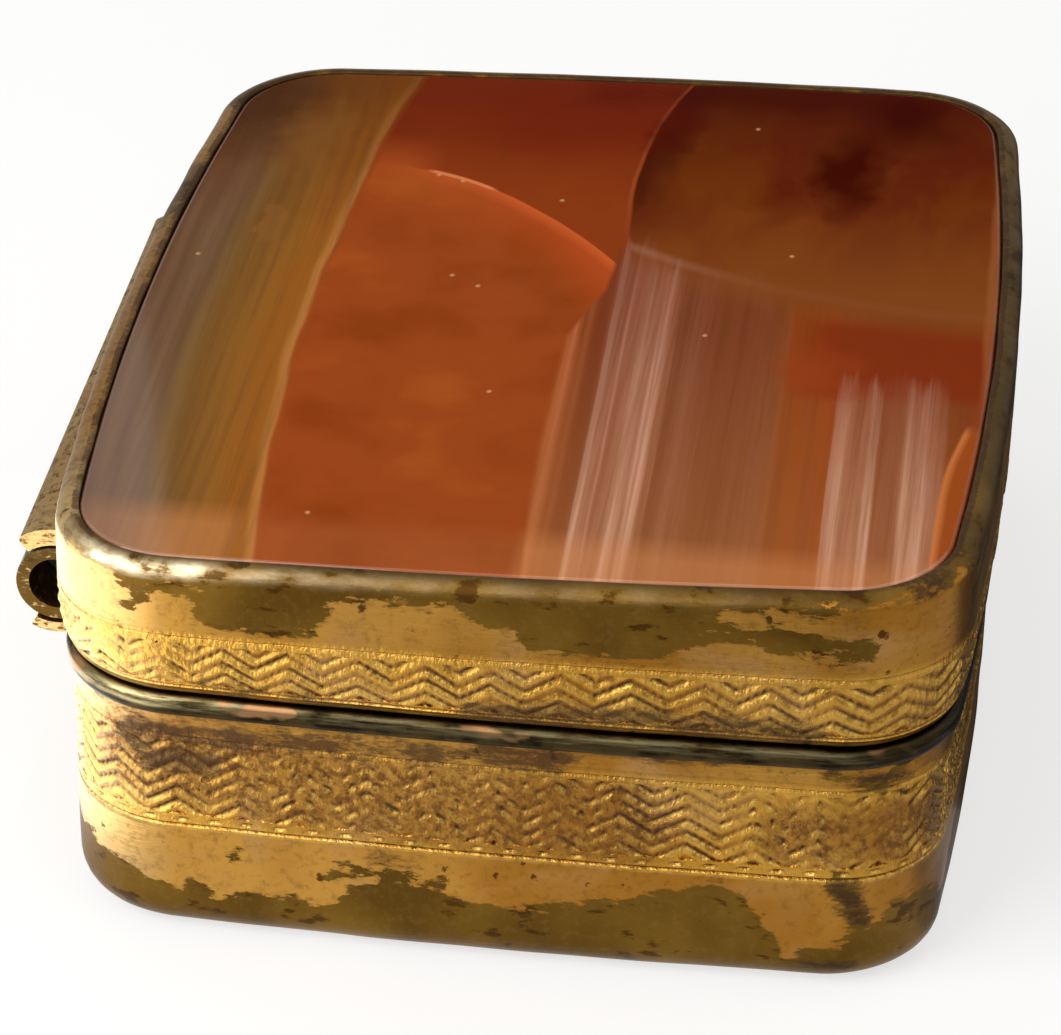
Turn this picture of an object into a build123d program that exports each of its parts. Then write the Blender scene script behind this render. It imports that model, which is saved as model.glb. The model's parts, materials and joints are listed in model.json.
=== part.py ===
"""Small hinged box: a gilt brass tub and lid frame, with a slab of banded agate set in the lid.

Millimetres. Z is up and the box stands on Z = 0. The hinge runs along Y on the -X side, the lid
opens at the +X side, and the origin is under the middle of the box.
"""
from build123d import *
from math import cos, radians, sin, sqrt
import os

# Plan of the box
base_width = 42.0  # across the hinge, over the middles of the two bowed sides
base_depth = 51.4  # along the hinge, over the middles of the front and back
side_bow = 1.4  # how far the hinge side and the opening side swell between their corners
front_bow = 0.55  # how far the front and the back swell between their corners
corner_radius = 5.5  # upright corners of the base

# Base tub, its mouth bead and its closing collar
wall = 0.7
floor_thickness = 0.9
foot_radius = 1.7  # outer rounding where the wall turns into the floor
inner_foot_radius = 1.0
mouth_height = 11.9  # top of the tub's wall
bead_height = 1.1
bead_proud = 0.32  # how far the bead stands out of the wall
bead_roundness = 0.42  # rounding of the bead's edges, as a share of its height
collar_thickness = 0.6
collar_rise = 1.5  # above the bead
collar_depth = 3.0  # soldered overlap with the wall, below its top
collar_clearance = 0.15  # between the collar and the lid's mouth
collar_lead_in = 0.2  # chamfer that guides the lid over the collar

# Lid frame
joint_gap = 0.15  # between the bead and the shut lid
lid_height = 7.3  # from the lid's lower edge to its rim, at the middle of the box
lid_slant = 2.0  # degrees by which the rim rises towards the opening side
lip_flare = 0.05  # how far the lid's lower edge stands out of the base's wall
lid_swell = 0.6  # how far the lid's wall stands out of the base's wall
flare_height = 2.3  # height over which the wall swells out
mouth_band_height = 1.9  # thick band at the lid's mouth that the collar slides in
shoulder_radius = 0.75  # rounding of the bezel
bezel_width = 1.0  # from the outside of the lid's wall to the visible edge of the stone

# Stone and what it lies on
stone_thickness = 2.0
ledge_drop = 0.4  # from the stone's top down to the ledge that the bezel grips
bezel_cover = 0.25  # how far the bezel is rubbed over the ledge
seam_gap = 0.1  # open line between the bezel and the stone
stone_edge_radius = 0.18
stone_below_rim = 0.05
bedding_thickness = 0.15
seat_thickness = 0.8
seat_width = 1.55

# Hinge
hinge_outset = 0.8  # from the middle of the base's hinge side out to the pin's axis
hinge_drop = 0.5  # from the top of the bead down to the pin's axis
barrel_radius = 1.9
bore_radius = 1.3
pin_clearance = 0.05
barrel_length = 32.4
knuckle_count = 5  # the base has the odd ones, counted from the front, and the lid the even ones
knuckle_gap = 0.12
pin_recess = 3.0  # the pin stops short inside each open end of the barrel
trough_clearance = 0.15  # between the turning barrel and the troughs it lies in
trough_thickness = 0.5
cover_thickness = 0.85
cover_edge_radius = 0.28
lug_bite = 0.1  # how far a lug's solder reaches into its knuckle

# Places round the pin, in degrees from the inside of the box, over the top of the barrel
base_trough_angles = (-118.0, 60.0)  # from the lip under the barrel to above the mouth, where it is cut level
lid_trough_angles = (0.0, 100.0)
cover_angles = (30.0, 128.0)  # from inside the lid's wall to the strip's free edge
base_lug_angles = (-60.0, -15.0)
lid_lug_angles = (25.0, 75.0)

# Cut lines that border the engraved bands
line_width = 0.16
line_depth = 0.12
base_lines = (10.7, 6.0)  # heights on the base
lid_upper_line = 3.5  # above the lid's lower edge, at the middle of the box
lid_lower_line = 0.5
line_slant = lid_slant / 2  # the upper line on the lid splits the difference in slant

# Levels and places that follow from the sizes above
bead_top = mouth_height + bead_height
lid_bottom = bead_top + joint_gap
rim_level = lid_bottom + lid_height
stone_top = rim_level - stone_below_rim
stone_bottom = stone_top - stone_thickness
seat_top = stone_bottom - bedding_thickness
seat_bottom = seat_top - seat_thickness
mouth_band_top = lid_bottom + mouth_band_height
visible_stone = lid_swell - bezel_width  # growth of the plan at the bezel's inner edge
stone_grow = visible_stone + bezel_cover
mouth_grow = collar_clearance - wall
flare = lid_swell - lip_flare
flare_radius = (flare**2 + flare_height**2) / (2 * flare)  # arc that leaves the upright wall smoothly
flare_level = lid_bottom + flare_height  # height at which the wall stands upright
hinge_x = -base_width / 2 - hinge_outset
hinge_z = bead_top - hinge_drop
trough_radius = barrel_radius + trough_clearance
trough_outer = trough_radius + trough_thickness
recess_length = barrel_length + 2 * knuckle_gap
knuckle_length = (barrel_length - (knuckle_count - 1) * knuckle_gap) / knuckle_count
reach = base_width + base_depth  # longer than anything here, for cutting tools


def outline(grow=0.0):
    """Plan of the box as a flat face, each side moved outwards by grow."""
    half_x = base_width / 2 + grow
    half_y = base_depth / 2 + grow
    corner_x = half_x - side_bow
    corner_y = half_y - front_bow
    corners = [(-corner_x, -corner_y), (corner_x, -corner_y), (corner_x, corner_y), (-corner_x, corner_y)]
    middles = [(0, -half_y), (half_x, 0), (0, half_y), (-half_x, 0)]
    sides = [ThreePointArc(corners[i], middles[i], corners[(i + 1) % 4]) for i in range(4)]
    face = make_face(sides)
    return fillet(face.vertices(), corner_radius + grow)


def block(grow, low, high):
    """Upright solid on the box's plan between two level heights."""
    return Pos(0, 0, low) * extrude(outline(grow), high - low)


def slab(low, high, slant):
    """Endless plate between two heights at the middle of the box, rising towards the opening side."""
    plate = Box(reach, reach, (high - low) * cos(radians(slant)))
    return Pos(0, 0, (low + high) / 2) * Rot(0, -slant, 0) * plate


def slanted_block(grow, low, high):
    """Upright solid on the box's plan whose top and bottom follow the lid's slant."""
    return block(grow, 0, reach) & slab(low, high, lid_slant)


def lid_grow_at(height):
    """How far the lid's wall stands out of the base's plan at a height above the lid's lower edge."""
    below = max(0.0, flare_height - height)
    return lid_swell - flare_radius + sqrt(flare_radius**2 - below**2)


def round_the_pin(length, radius):
    """Cylinder about the hinge's axis."""
    return Pos(hinge_x, 0, hinge_z) * Rot(90, 0, 0) * Cylinder(radius, length)


def pin_sector(inner, outer, start, end, length):
    """Curved plate about the hinge's axis between two angles, measured from +X towards +Z."""
    def at(radius, angle):
        return hinge_x + radius * cos(radians(angle)), hinge_z + radius * sin(radians(angle))

    middle = (start + end) / 2
    sides = [
        ThreePointArc(at(inner, start), at(inner, middle), at(inner, end)),
        Line(at(inner, end), at(outer, end)),
        ThreePointArc(at(outer, end), at(outer, middle), at(outer, start)),
        Line(at(outer, start), at(inner, start)),
    ]
    return extrude(Plane.XZ * make_face(sides), length / 2, both=True)


def cut_line(body, grow, level, slant=0.0):
    """Cut a thin line round a wall whose outside is the plan moved outwards by grow."""
    plate = slab(level - line_width / 2, level + line_width / 2, slant)
    return body - (plate - block(grow - line_depth, 0, reach))


def knuckle_middle(index):
    """Place along the hinge of the middle of one knuckle."""
    return -barrel_length / 2 + knuckle_length / 2 + index * (knuckle_length + knuckle_gap)


def make_base_tub():
    """Drawn tub with a rounded foot, recessed for the hinge, and with its two border lines."""
    tub = block(0, 0, mouth_height)
    tub = fillet(tub.faces().sort_by(Axis.Z)[0].edges(), foot_radius)
    hollow = block(-wall, floor_thickness, reach)
    hollow = fillet(hollow.faces().sort_by(Axis.Z)[0].edges(), inner_foot_radius)
    tub = tub - hollow
    for level in base_lines:
        tub = cut_line(tub, 0, level)
    return tub - round_the_pin(recess_length, trough_outer)


def make_base_mouth_bead():
    """Half-round wire soldered round the top edge of the tub."""
    outside = block(bead_proud, mouth_height, bead_top)
    round_edges = outside.faces().sort_by(Axis.Z)[0].edges() + outside.faces().sort_by(Axis.Z)[-1].edges()
    bead = fillet(round_edges, min(bead_height * bead_roundness, bead_proud + wall / 2))
    return bead - block(-wall, 0, reach) - round_the_pin(recess_length, trough_outer)


def make_base_collar():
    """Inner rim that the lid closes over."""
    low = mouth_height - collar_depth
    high = bead_top + collar_rise
    collar = block(-wall, low, high)
    collar = chamfer(collar.faces().sort_by(Axis.Z)[-1].edges(), collar_lead_in)
    collar = collar - block(-wall - collar_thickness, 0, reach)
    return collar - round_the_pin(recess_length, trough_outer)


def make_base_hinge_trough():
    """Curved plate that closes the base behind the barrel and ends in a lip under it."""
    trough = pin_sector(trough_radius, trough_outer, *base_trough_angles, recess_length)
    return trough & slab(bead_top - reach, bead_top, 0)


def make_lid_outside():
    """Solid outer form of the lid: wall that swells out from its lower edge, and slanted, rounded rim."""
    form = block(lid_swell, flare_level - flare_radius, reach)
    form = fillet(form.faces().sort_by(Axis.Z)[0].edges(), flare_radius)
    form = form - slab(rim_level, rim_level + reach, lid_slant) - slab(lid_bottom - reach, lid_bottom, 0)
    return fillet(form.faces().sort_by(Axis.Z)[-1].edges(), shoulder_radius)


def make_agate_plaque():
    """Stone slab with a ledge ground round it for the bezel, and a softened top edge."""
    ledge = stone_top - ledge_drop
    face = slanted_block(visible_stone - seam_gap, ledge, stone_top)
    face = fillet(face.faces().sort_by(Axis.Z)[-1].edges(), stone_edge_radius)
    return slanted_block(stone_grow, stone_bottom, ledge) + face


def make_lid_frame():
    """Lid wall with its bezel rubbed over the stone's ledge, recessed for the hinge."""
    frame = make_lid_outside()
    frame = cut_line(frame, lid_swell, lid_bottom + lid_upper_line, line_slant)
    frame = cut_line(frame, lid_grow_at(lid_lower_line), lid_bottom + lid_lower_line)
    ledge = stone_top - ledge_drop
    space = block(stone_grow, mouth_band_top, reach) - slab(ledge, ledge + reach, lid_slant)
    space = space + block(mouth_grow, 0, mouth_band_top)
    space = space + slanted_block(visible_stone, ledge, reach)
    return frame - space - round_the_pin(recess_length, trough_outer)


def make_ring_under_stone(low, high):
    """Flat ring inside the lid's wall, as wide as the stone's seat."""
    return slanted_block(stone_grow, low, high) - block(stone_grow - seat_width, 0, reach)


def make_lid_hinge_trough(lid_outside):
    """Curved plate that closes the lid's wall over the barrel."""
    trough = pin_sector(trough_radius, trough_outer, *lid_trough_angles, recess_length)
    return trough & lid_outside


def make_hinge_cover_strip(lid_outside):
    """Strip along the lid's hinge side that hides the top of the barrel."""
    outer = trough_radius + cover_thickness
    cover = pin_sector(trough_radius, outer, *cover_angles, barrel_length)
    edge = cover.edges().filter_by(Axis.Y).sort_by(Axis.X)[0]
    return fillet(edge, min(cover_edge_radius, cover_thickness / 2)) - lid_outside


def make_knuckle(index):
    """One length of the barrel with the lug that is soldered to its trough."""
    angles = lid_lug_angles if index % 2 else base_lug_angles
    lug = pin_sector(barrel_radius - lug_bite, trough_radius, *angles, knuckle_length)
    knuckle = round_the_pin(knuckle_length, barrel_radius) + lug - round_the_pin(reach, bore_radius)
    return Pos(0, knuckle_middle(index), 0) * knuckle


def make_hinge_pin():
    """Rod that stops short of both open ends of the barrel."""
    return round_the_pin(barrel_length - 2 * pin_recess, bore_radius - pin_clearance)


def build_parts():
    """Every piece of the box by its node name."""
    lid_outside = make_lid_outside()
    parts = {
        "base_tub": make_base_tub(),
        "base_mouth_bead": make_base_mouth_bead(),
        "base_collar": make_base_collar(),
        "base_hinge_trough": make_base_hinge_trough(),
        "hinge_pin": make_hinge_pin(),
        "lid_frame": make_lid_frame(),
        "agate_plaque": make_agate_plaque(),
        "stone_bedding": make_ring_under_stone(seat_top, stone_bottom),
        "stone_seat_ring": make_ring_under_stone(seat_bottom, seat_top),
        "lid_hinge_trough": make_lid_hinge_trough(lid_outside),
        "hinge_cover_strip": make_hinge_cover_strip(lid_outside),
    }
    for index in range(knuckle_count):
        side = "lid" if index % 2 else "base"
        parts[f"{side}_knuckle_{index + 1}"] = make_knuckle(index)
    return parts


os.makedirs("parts", exist_ok=True)
for name, part in build_parts().items():
    export_step(part, f"parts/{name}.step")
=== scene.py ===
"""Small gilt brass box with a banded agate lid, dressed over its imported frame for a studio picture."""

import json
import logging
import math
from collections.abc import Callable
from dataclasses import dataclass, field, replace
from enum import Enum
from functools import partial
from typing import Any

import bpy
import numpy as np
from mathutils import Matrix, Vector

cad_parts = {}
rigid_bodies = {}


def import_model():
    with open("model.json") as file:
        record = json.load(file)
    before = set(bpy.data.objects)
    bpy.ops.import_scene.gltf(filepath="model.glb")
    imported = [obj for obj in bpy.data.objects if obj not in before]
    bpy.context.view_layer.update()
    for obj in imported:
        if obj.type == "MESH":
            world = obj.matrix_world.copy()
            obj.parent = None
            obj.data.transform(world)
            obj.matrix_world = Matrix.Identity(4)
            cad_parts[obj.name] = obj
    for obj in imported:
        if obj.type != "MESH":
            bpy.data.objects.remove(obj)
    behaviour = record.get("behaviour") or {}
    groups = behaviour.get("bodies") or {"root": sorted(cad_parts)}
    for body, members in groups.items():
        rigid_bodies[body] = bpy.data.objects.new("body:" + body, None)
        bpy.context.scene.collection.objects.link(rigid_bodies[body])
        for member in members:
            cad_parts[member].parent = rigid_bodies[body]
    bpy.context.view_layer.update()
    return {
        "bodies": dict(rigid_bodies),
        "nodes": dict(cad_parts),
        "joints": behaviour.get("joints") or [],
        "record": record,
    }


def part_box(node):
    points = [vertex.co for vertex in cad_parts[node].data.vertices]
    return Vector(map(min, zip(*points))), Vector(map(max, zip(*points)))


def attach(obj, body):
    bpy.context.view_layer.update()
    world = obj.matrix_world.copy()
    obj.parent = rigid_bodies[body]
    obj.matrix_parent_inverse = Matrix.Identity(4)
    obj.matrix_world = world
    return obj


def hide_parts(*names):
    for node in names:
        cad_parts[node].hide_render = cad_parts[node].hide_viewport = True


log = logging.getLogger("agate_box")

MM = 0.001
PHOTO_WIDTH = 1061
SENSOR_WIDTH = 36.0
WHITE = "#FFFFFF"
SMOOTH_ANGLE = math.radians(38)
WELD_REACH = 1e-7

# Millimetres inside a patch, for a place that is far outside every one
FAR_OUTSIDE = -9.0

# The stretch of wall that the picture doesn't show, in millimetres along the plan
UNSEEN_START = 24.0
UNSEEN_STOP = 140.0

# Factors of a sine that give each short cut of a row its own draw
PECK_DRAW = (12.99, 78.23, 43758.5453)

# Settings that a kind of node has unless others are given
USUAL_SETTINGS = {"Mix": {"data_type": "RGBA"}}

Piece = bpy.types.Object
Material = bpy.types.Material
Node = bpy.types.Node
Add = Callable[..., Node]
Line = tuple[tuple[float, float], ...]
Field = np.ndarray


def linear(hex_colour: str) -> tuple[float, float, float, float]:
    """Turn an sRGB hex colour into linear light.

    Args:
        hex_colour: six hex digits with a leading hash.

    Returns:
        Red, green, blue and an alpha of one.
    """
    channels = [int(hex_colour[i : i + 2], 16) / 255 for i in (1, 3, 5)]
    light = [c / 12.92 if c <= 0.04045 else ((c + 0.055) / 1.055) ** 2.4 for c in channels]
    return (*light, 1.0)


def deselect_everything() -> None:
    """Leave edit mode and deselect every object, so that an operator acts on one piece alone."""
    if bpy.context.object and bpy.context.object.mode != "OBJECT":
        bpy.ops.object.mode_set(mode="OBJECT")
    bpy.ops.object.select_all(action="DESELECT")


def select_only(piece: Piece) -> None:
    """Make one piece the selected and active object.

    Args:
        piece: the piece.
    """
    deselect_everything()
    piece.select_set(True)
    bpy.context.view_layer.objects.active = piece


def add_node(
    tree: bpy.types.NodeTree, kind: str, *values: Any, named: dict[str, Any] | None = None, **settings: Any
) -> Node:
    """Add a node with its settings, and fill its inputs.

    A value can be a plain value, an sRGB hex colour, a socket, or a node whose first output in use is linked.

    Args:
        tree: node tree that gets the node.
        kind: the node's type, without the leading ShaderNode.
        values: for the inputs in use, in order.
        named: values for inputs that are given by name.
        settings: the node's own properties.

    Returns:
        The new node.
    """
    node = tree.nodes.new("ShaderNode" + kind)
    for name, value in (USUAL_SETTINGS.get(kind, {}) | settings).items():
        setattr(node, name, value)
    filled = list(zip([s for s in node.inputs if s.enabled], values))
    filled += [(node.inputs[name], value) for name, value in (named or {}).items()]
    for socket, value in filled:
        if isinstance(value, bpy.types.Node):
            value = next(s for s in value.outputs if s.enabled)
        if isinstance(value, bpy.types.NodeSocket):
            tree.links.new(value, socket)
        else:
            socket.default_value = linear(value) if isinstance(value, str) else value
    return node


def start_material(name: str) -> tuple[Material, Add, Node]:
    """Make an empty material that works in millimetres.

    Args:
        name: what the real material is.

    Returns:
        The material, what adds a node to it, and the node with the place on the object in millimetres.
    """
    material = bpy.data.materials.new(name)
    material.use_nodes = True
    material.node_tree.nodes.clear()
    add = partial(add_node, material.node_tree)
    return material, add, add("Mapping", add("TexCoord").outputs["Object"], named={"Scale": (1 / MM,) * 3})


@dataclass(frozen=True)
class Plan:
    """Plan of the box: four bowed sides joined by rounded corners, in millimetres."""

    width: float = 42.0
    depth: float = 51.4
    side_bow: float = 1.4
    front_bow: float = 0.55
    corner_radius: float = 5.5
    spacing: float = 0.17

    def quarter(self, grow: float) -> list[tuple[float, float, float, float, float]]:
        """Describe the three arcs from the middle of the opening side to the middle of the back.

        Args:
            grow: how far the plan is moved outwards.

        Returns:
            For each arc its centre's x and y, its radius, and its first and last angle.
        """
        half_x = self.width / 2 + grow
        half_y = self.depth / 2 + grow
        side = ((half_y - self.front_bow) ** 2 + self.side_bow**2) / (2 * self.side_bow)
        end = ((half_x - self.side_bow) ** 2 + self.front_bow**2) / (2 * self.front_bow)
        radius = self.corner_radius + grow
        side_x = half_x - side
        end_y = half_y - end
        apart = math.hypot(side_x, end_y)
        along = ((side - radius) ** 2 - (end - radius) ** 2 + apart**2) / (2 * apart)
        across = math.sqrt((side - radius) ** 2 - along**2)
        to_x, to_y = -side_x / apart, end_y / apart
        corner_x = side_x + to_x * along - to_y * across
        corner_y = to_y * along + to_x * across
        first = math.atan2(corner_y, corner_x - side_x)
        last = math.atan2(corner_y - end_y, corner_x)
        return [
            (side_x, 0.0, side, 0.0, first),
            (corner_x, corner_y, radius, first, last),
            (0.0, end_y, end, last, math.pi / 2),
        ]

    def counts(self) -> list[int]:
        """Number of steps on each arc of a quarter, from the plan as it is."""
        return [max(4, round(r * (b - a) / self.spacing)) for _, _, r, a, b in self.quarter(0.0)]

    def loop(self, grow: float) -> Field:
        """Sample the whole plan, from the middle of the hinge side over the front.

        Args:
            grow: how far the plan is moved outwards.

        Returns:
            The x and y of each point, one row for each.
        """
        arcs = []
        for (x, y, radius, start, stop), count in zip(self.quarter(grow), self.counts()):
            angles = np.linspace(start, stop, count, endpoint=False)
            arcs.append(np.column_stack([x + radius * np.cos(angles), y + radius * np.sin(angles)]))
        arcs.append([[0.0, self.depth / 2 + grow]])
        quarter = np.vstack(arcs)
        back = quarter[::-1]
        return np.vstack([-quarter[:-1], back[:-1] * (1, -1), quarter[:-1], back[:-1] * (-1, 1)])

    def steps(self) -> Field:
        """Distance from each point of the loop to the next."""
        points = self.loop(0.0)
        return np.linalg.norm(np.diff(points, axis=0, append=points[:1]), axis=1)

    def girth(self) -> float:
        """Length of the whole plan."""
        return float(self.steps().sum())

    def along(self) -> Field:
        """Distance along the plan of each point of its loop, with zero at the middle of the front."""
        return np.concatenate([[0.0], np.cumsum(self.steps())[:-1]]) - self.girth() / 4


@dataclass(frozen=True)
class Ripples:
    """Gentle unevenness of a hand-raised wall, in millimetres, that joins up round the box."""

    seed: int
    depth: float
    waves: int = 14
    shortest: float = 5.0

    def at(self, along: Field, height: Field, girth: float) -> Field:
        """Work out how far the wall is pushed in.

        Args:
            along: distances along the plan.
            height: heights on the wall.
            girth: length of the whole plan.

        Returns:
            A depth of zero or more for each place.
        """
        chance = np.random.default_rng(self.seed)
        total = np.zeros_like(along)
        for _ in range(self.waves):
            turns = chance.integers(2, int(girth / self.shortest))
            tilt, phase = chance.uniform(-0.9, 0.9), chance.uniform(0, 2 * math.pi)
            total += np.sin(2 * math.pi * turns * along / girth + tilt * height + phase)
        return self.depth * (0.5 + 0.5 * np.tanh(total / math.sqrt(self.waves)))


@dataclass(frozen=True)
class Patch:
    """Stretch of wall round a bent line, in millimetres.

    The line's points are places along the front from its middle, and heights over the underside.
    """

    points: Line
    radius: float

    def inside(self, along: Field, height: Field) -> Field:
        """Work out how far places lie inside the patch.

        Args:
            along: distances along the plan.
            height: heights on the wall.

        Returns:
            Millimetres inside the patch's edge, negative outside it.
        """
        nearest = np.full_like(along, np.inf)
        for start, stop in zip(self.points, self.points[1:] or self.points):
            line = np.subtract(stop, start)
            length = max(float(line @ line), 1e-9)
            share = np.clip(((along - start[0]) * line[0] + (height - start[1]) * line[1]) / length, 0, 1)
            away = np.hypot(along - start[0] - share * line[0], height - start[1] - share * line[1])
            nearest = np.minimum(nearest, away)
        return self.radius - nearest


def deepest(patches: tuple[Patch, ...], along: Field, height: Field) -> Field:
    """Work out how far places lie inside any of some patches.

    Args:
        patches: the patches.
        along: distances along the plan.
        height: heights on the wall.

    Returns:
        Millimetres inside the nearest edge, negative outside.
    """
    return np.max([np.full_like(along, FAR_OUTSIDE)] + [p.inside(along, height) for p in patches], axis=0)


def scattered(seed: int, count: int, low: float, high: float) -> tuple[Patch, ...]:
    """Strew long, low patches over the sides that the picture doesn't show.

    Args:
        seed: start of the draws.
        count: number of patches.
        low: lowest middle of a patch.
        high: highest middle of a patch.

    Returns:
        The patches.
    """
    chance = np.random.default_rng(seed)
    found = []
    for _ in range(count):
        along, height = chance.uniform(UNSEEN_START, UNSEEN_STOP), chance.uniform(low, high)
        reach, tilt = chance.uniform(0.5, 3.5), chance.uniform(-0.4, 0.4)
        ends = ((along - reach, height - tilt), (along + reach, height + tilt))
        found.append(Patch(ends, chance.uniform(0.25, 1.0)))
    return tuple(found)


@dataclass(frozen=True)
class Level:
    """One ring of an engraved band, with its row of chevrons if it has one.

    Cut is its share of the depth. Lit is its share of a painted glint, from 0 to 1.
    """

    height: float
    cut: float = 0.0
    row: int | None = None
    dashed: bool = False
    lit: float = 0.0


@dataclass(frozen=True)
class Ring:
    """One closed line round a wall, in millimetres.

    Where grow is None, the ring lies on the wall's own form. Soil darkens it where it meets another part,
    shade is painted shade that darkens it away from the front along the stone's edge, and rub is how bright
    rubbing and a painted highlight keep it, all from 0 to 1.
    """

    grow: float | None
    height: float
    slant: float = 0.0
    level: Level | None = None
    inside: bool = False
    soil: float = 0.0
    shade: float = 0.0
    rub_and_highlight: float = 0.0


def arc_rings(
    grow: float, height: float, radius: float, start: float, stop: float, count: int, **more: Any
) -> list[Ring]:
    """Lay rings along a rounding.

    Args:
        grow: the rounding's centre, as a growth of the plan.
        height: the rounding's centre.
        radius: the rounding's radius.
        start: first angle in degrees, from outwards to upwards.
        stop: last angle in degrees.
        count: number of rings.
        more: what else the rings have in common.

    Returns:
        The rings in order.
    """
    angles = np.radians(np.linspace(start, stop, count))
    return [Ring(grow + radius * math.cos(a), height + radius * math.sin(a), **more) for a in angles]


@dataclass(frozen=True)
class ChevronBand:
    """Band of hand-engraved chevrons between two cut lines, in millimetres above the wall's lower edge.

    A row of chevrons is drawn with a few rings, and stroke gives the place of each as a share of the pitch,
    its cut, and its share of a painted glint. Rings that run out at an edge of the band keep a small gap and
    their order.
    """

    low: float
    high: float
    chevrons: int
    seed: int
    swing: float
    dashes: bool = False
    pitch: float = 0.7
    depth: float = 0.15
    peck: float = 0.3
    peck_slope: float = 1.9
    peck_kept: float = 0.6
    tick: float = 0.37
    tick_shift: float = 0.37
    tick_low: float = 0.6
    tick_rise: float = 0.6
    shake: float = 0.06
    weakest: float = 0.55
    drifts: tuple[int, ...] = (3, 7, 13)
    line_width: float = 0.2
    line_share: float = 0.7
    line_lit: float = 0.45
    dash_pitch: float = 1.5
    dash_room: float = 0.34
    dash_slope: float = 4.0
    dash_share: float = 0.9
    order_gap: float = 0.004
    order_step: float = 0.1
    order_room: int = 60
    edge_fade: float = 0.06
    top_share: float = 0.35
    stroke: tuple[tuple[float, float, float], ...] = (
        (-0.42, 0.0, 0.6), (-0.22, 0.6, 1.0), (0.0, 1.0, 0.0), (0.2, 0.65, 0.0), (0.42, 0.0, 0.0),
    )
    dash_rings: tuple[tuple[float, float, float], ...] = ((0.3, 0.0, 1.0), (0.65, 1.0, 0.3), (1.0, 0.0, 0.0))

    def line(self, level: float, share: float) -> list[Level]:
        """Rings of one border line."""
        half = self.line_width / 2
        return [Level(level - half, lit=self.line_lit), Level(level, share), Level(level + half)]

    def floor(self) -> float:
        """Height where the chevrons end at the bottom, over the dashes if there are any."""
        return self.low + (self.dash_room if self.dashes else 0.0) + self.line_width

    def levels(self) -> list[Level]:
        """List the band's rings, with enough rows for chevrons that run out at its edges.

        Returns:
            The rings from the bottom up.
        """
        rings = self.line(self.low, self.line_share)
        if self.dashes:
            start = self.low + self.line_width / 2
            for share, cut, lit in self.dash_rings:
                rings.append(Level(start + self.dash_room * share, cut, dashed=True, lit=lit))
        rows = math.ceil((self.high - self.low + self.swing) / self.pitch)
        middle = (self.floor() + self.high) / 2
        for row in range(rows):
            height = middle + (row - (rows - 1) / 2) * self.pitch
            for place, cut, lit in self.stroke:
                rings.append(Level(height + place * self.pitch, cut, row, lit=lit))
        return rings + self.line(self.high, self.top_share)

    def strokes(self, level: Level, along: Field, girth: float) -> tuple[Field, Field]:
        """Work out how one ring of a row of chevrons runs.

        Args:
            level: the ring.
            along: distances along the plan.
            girth: length of the whole plan.

        Returns:
            The ring's height, and the force from 0 to 1 that the graver was pushed with.
        """
        chance = np.random.default_rng(self.seed)
        phase = along / girth * self.chevrons
        for turns in self.drifts:
            drift = chance.uniform(0.02, 0.05)
            phase = phase + drift * np.sin(2 * math.pi * turns * along / girth + chance.uniform(0, 6))
        chance = np.random.default_rng(self.seed + 1 + level.row)
        legs = 2 * self.chevrons
        leg = np.floor(2 * phase).astype(int) % legs
        zigzag = 4 * np.abs(phase - np.floor(phase) - 0.5) - 1
        shaken = chance.uniform(-self.shake, self.shake, legs)[leg] * self.pitch
        drawn = level.height + self.swing / 2 * zigzag + shaken
        order = self.order_gap * (level.height - self.low) / self.order_step
        highest = self.high - self.line_width - self.order_gap * self.order_room + order
        height = np.clip(drawn, self.floor() + order, highest)
        force = chance.uniform(self.weakest, 1.0, legs)[leg]
        tick = along / self.tick + level.row * self.tick_shift
        force *= self.tick_low + self.tick_rise * np.abs(2 * (tick - np.floor(tick)) - 1)
        return height, np.clip(force, 0, 1) * (1 - np.clip(np.abs(drawn - height) / self.edge_fade, 0, 1))

    def pecks(self, row: int, along: Field) -> Field:
        """Work out which short cuts of a row are missed, where the rows are broken up.

        Args:
            row: number of the row.
            along: distances along the plan.

        Returns:
            The share from 0 to 1 by which each is missed.
        """
        by_cell, by_row, spread = PECK_DRAW
        draw = (np.sin(np.floor(along / self.peck) * by_cell + row * by_row) * spread) % 1.0
        return np.clip(self.peck_slope * draw - self.peck_kept, 0.0, 1.0)

    def dash(self, along: Field) -> Field:
        """Share by which the strip of dashes is cut: zero on a dash, and one between two."""
        place = along / self.dash_pitch
        return np.clip(self.dash_slope * np.abs(place - np.round(place)) - self.dash_share, 0.0, 1.0)


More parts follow.
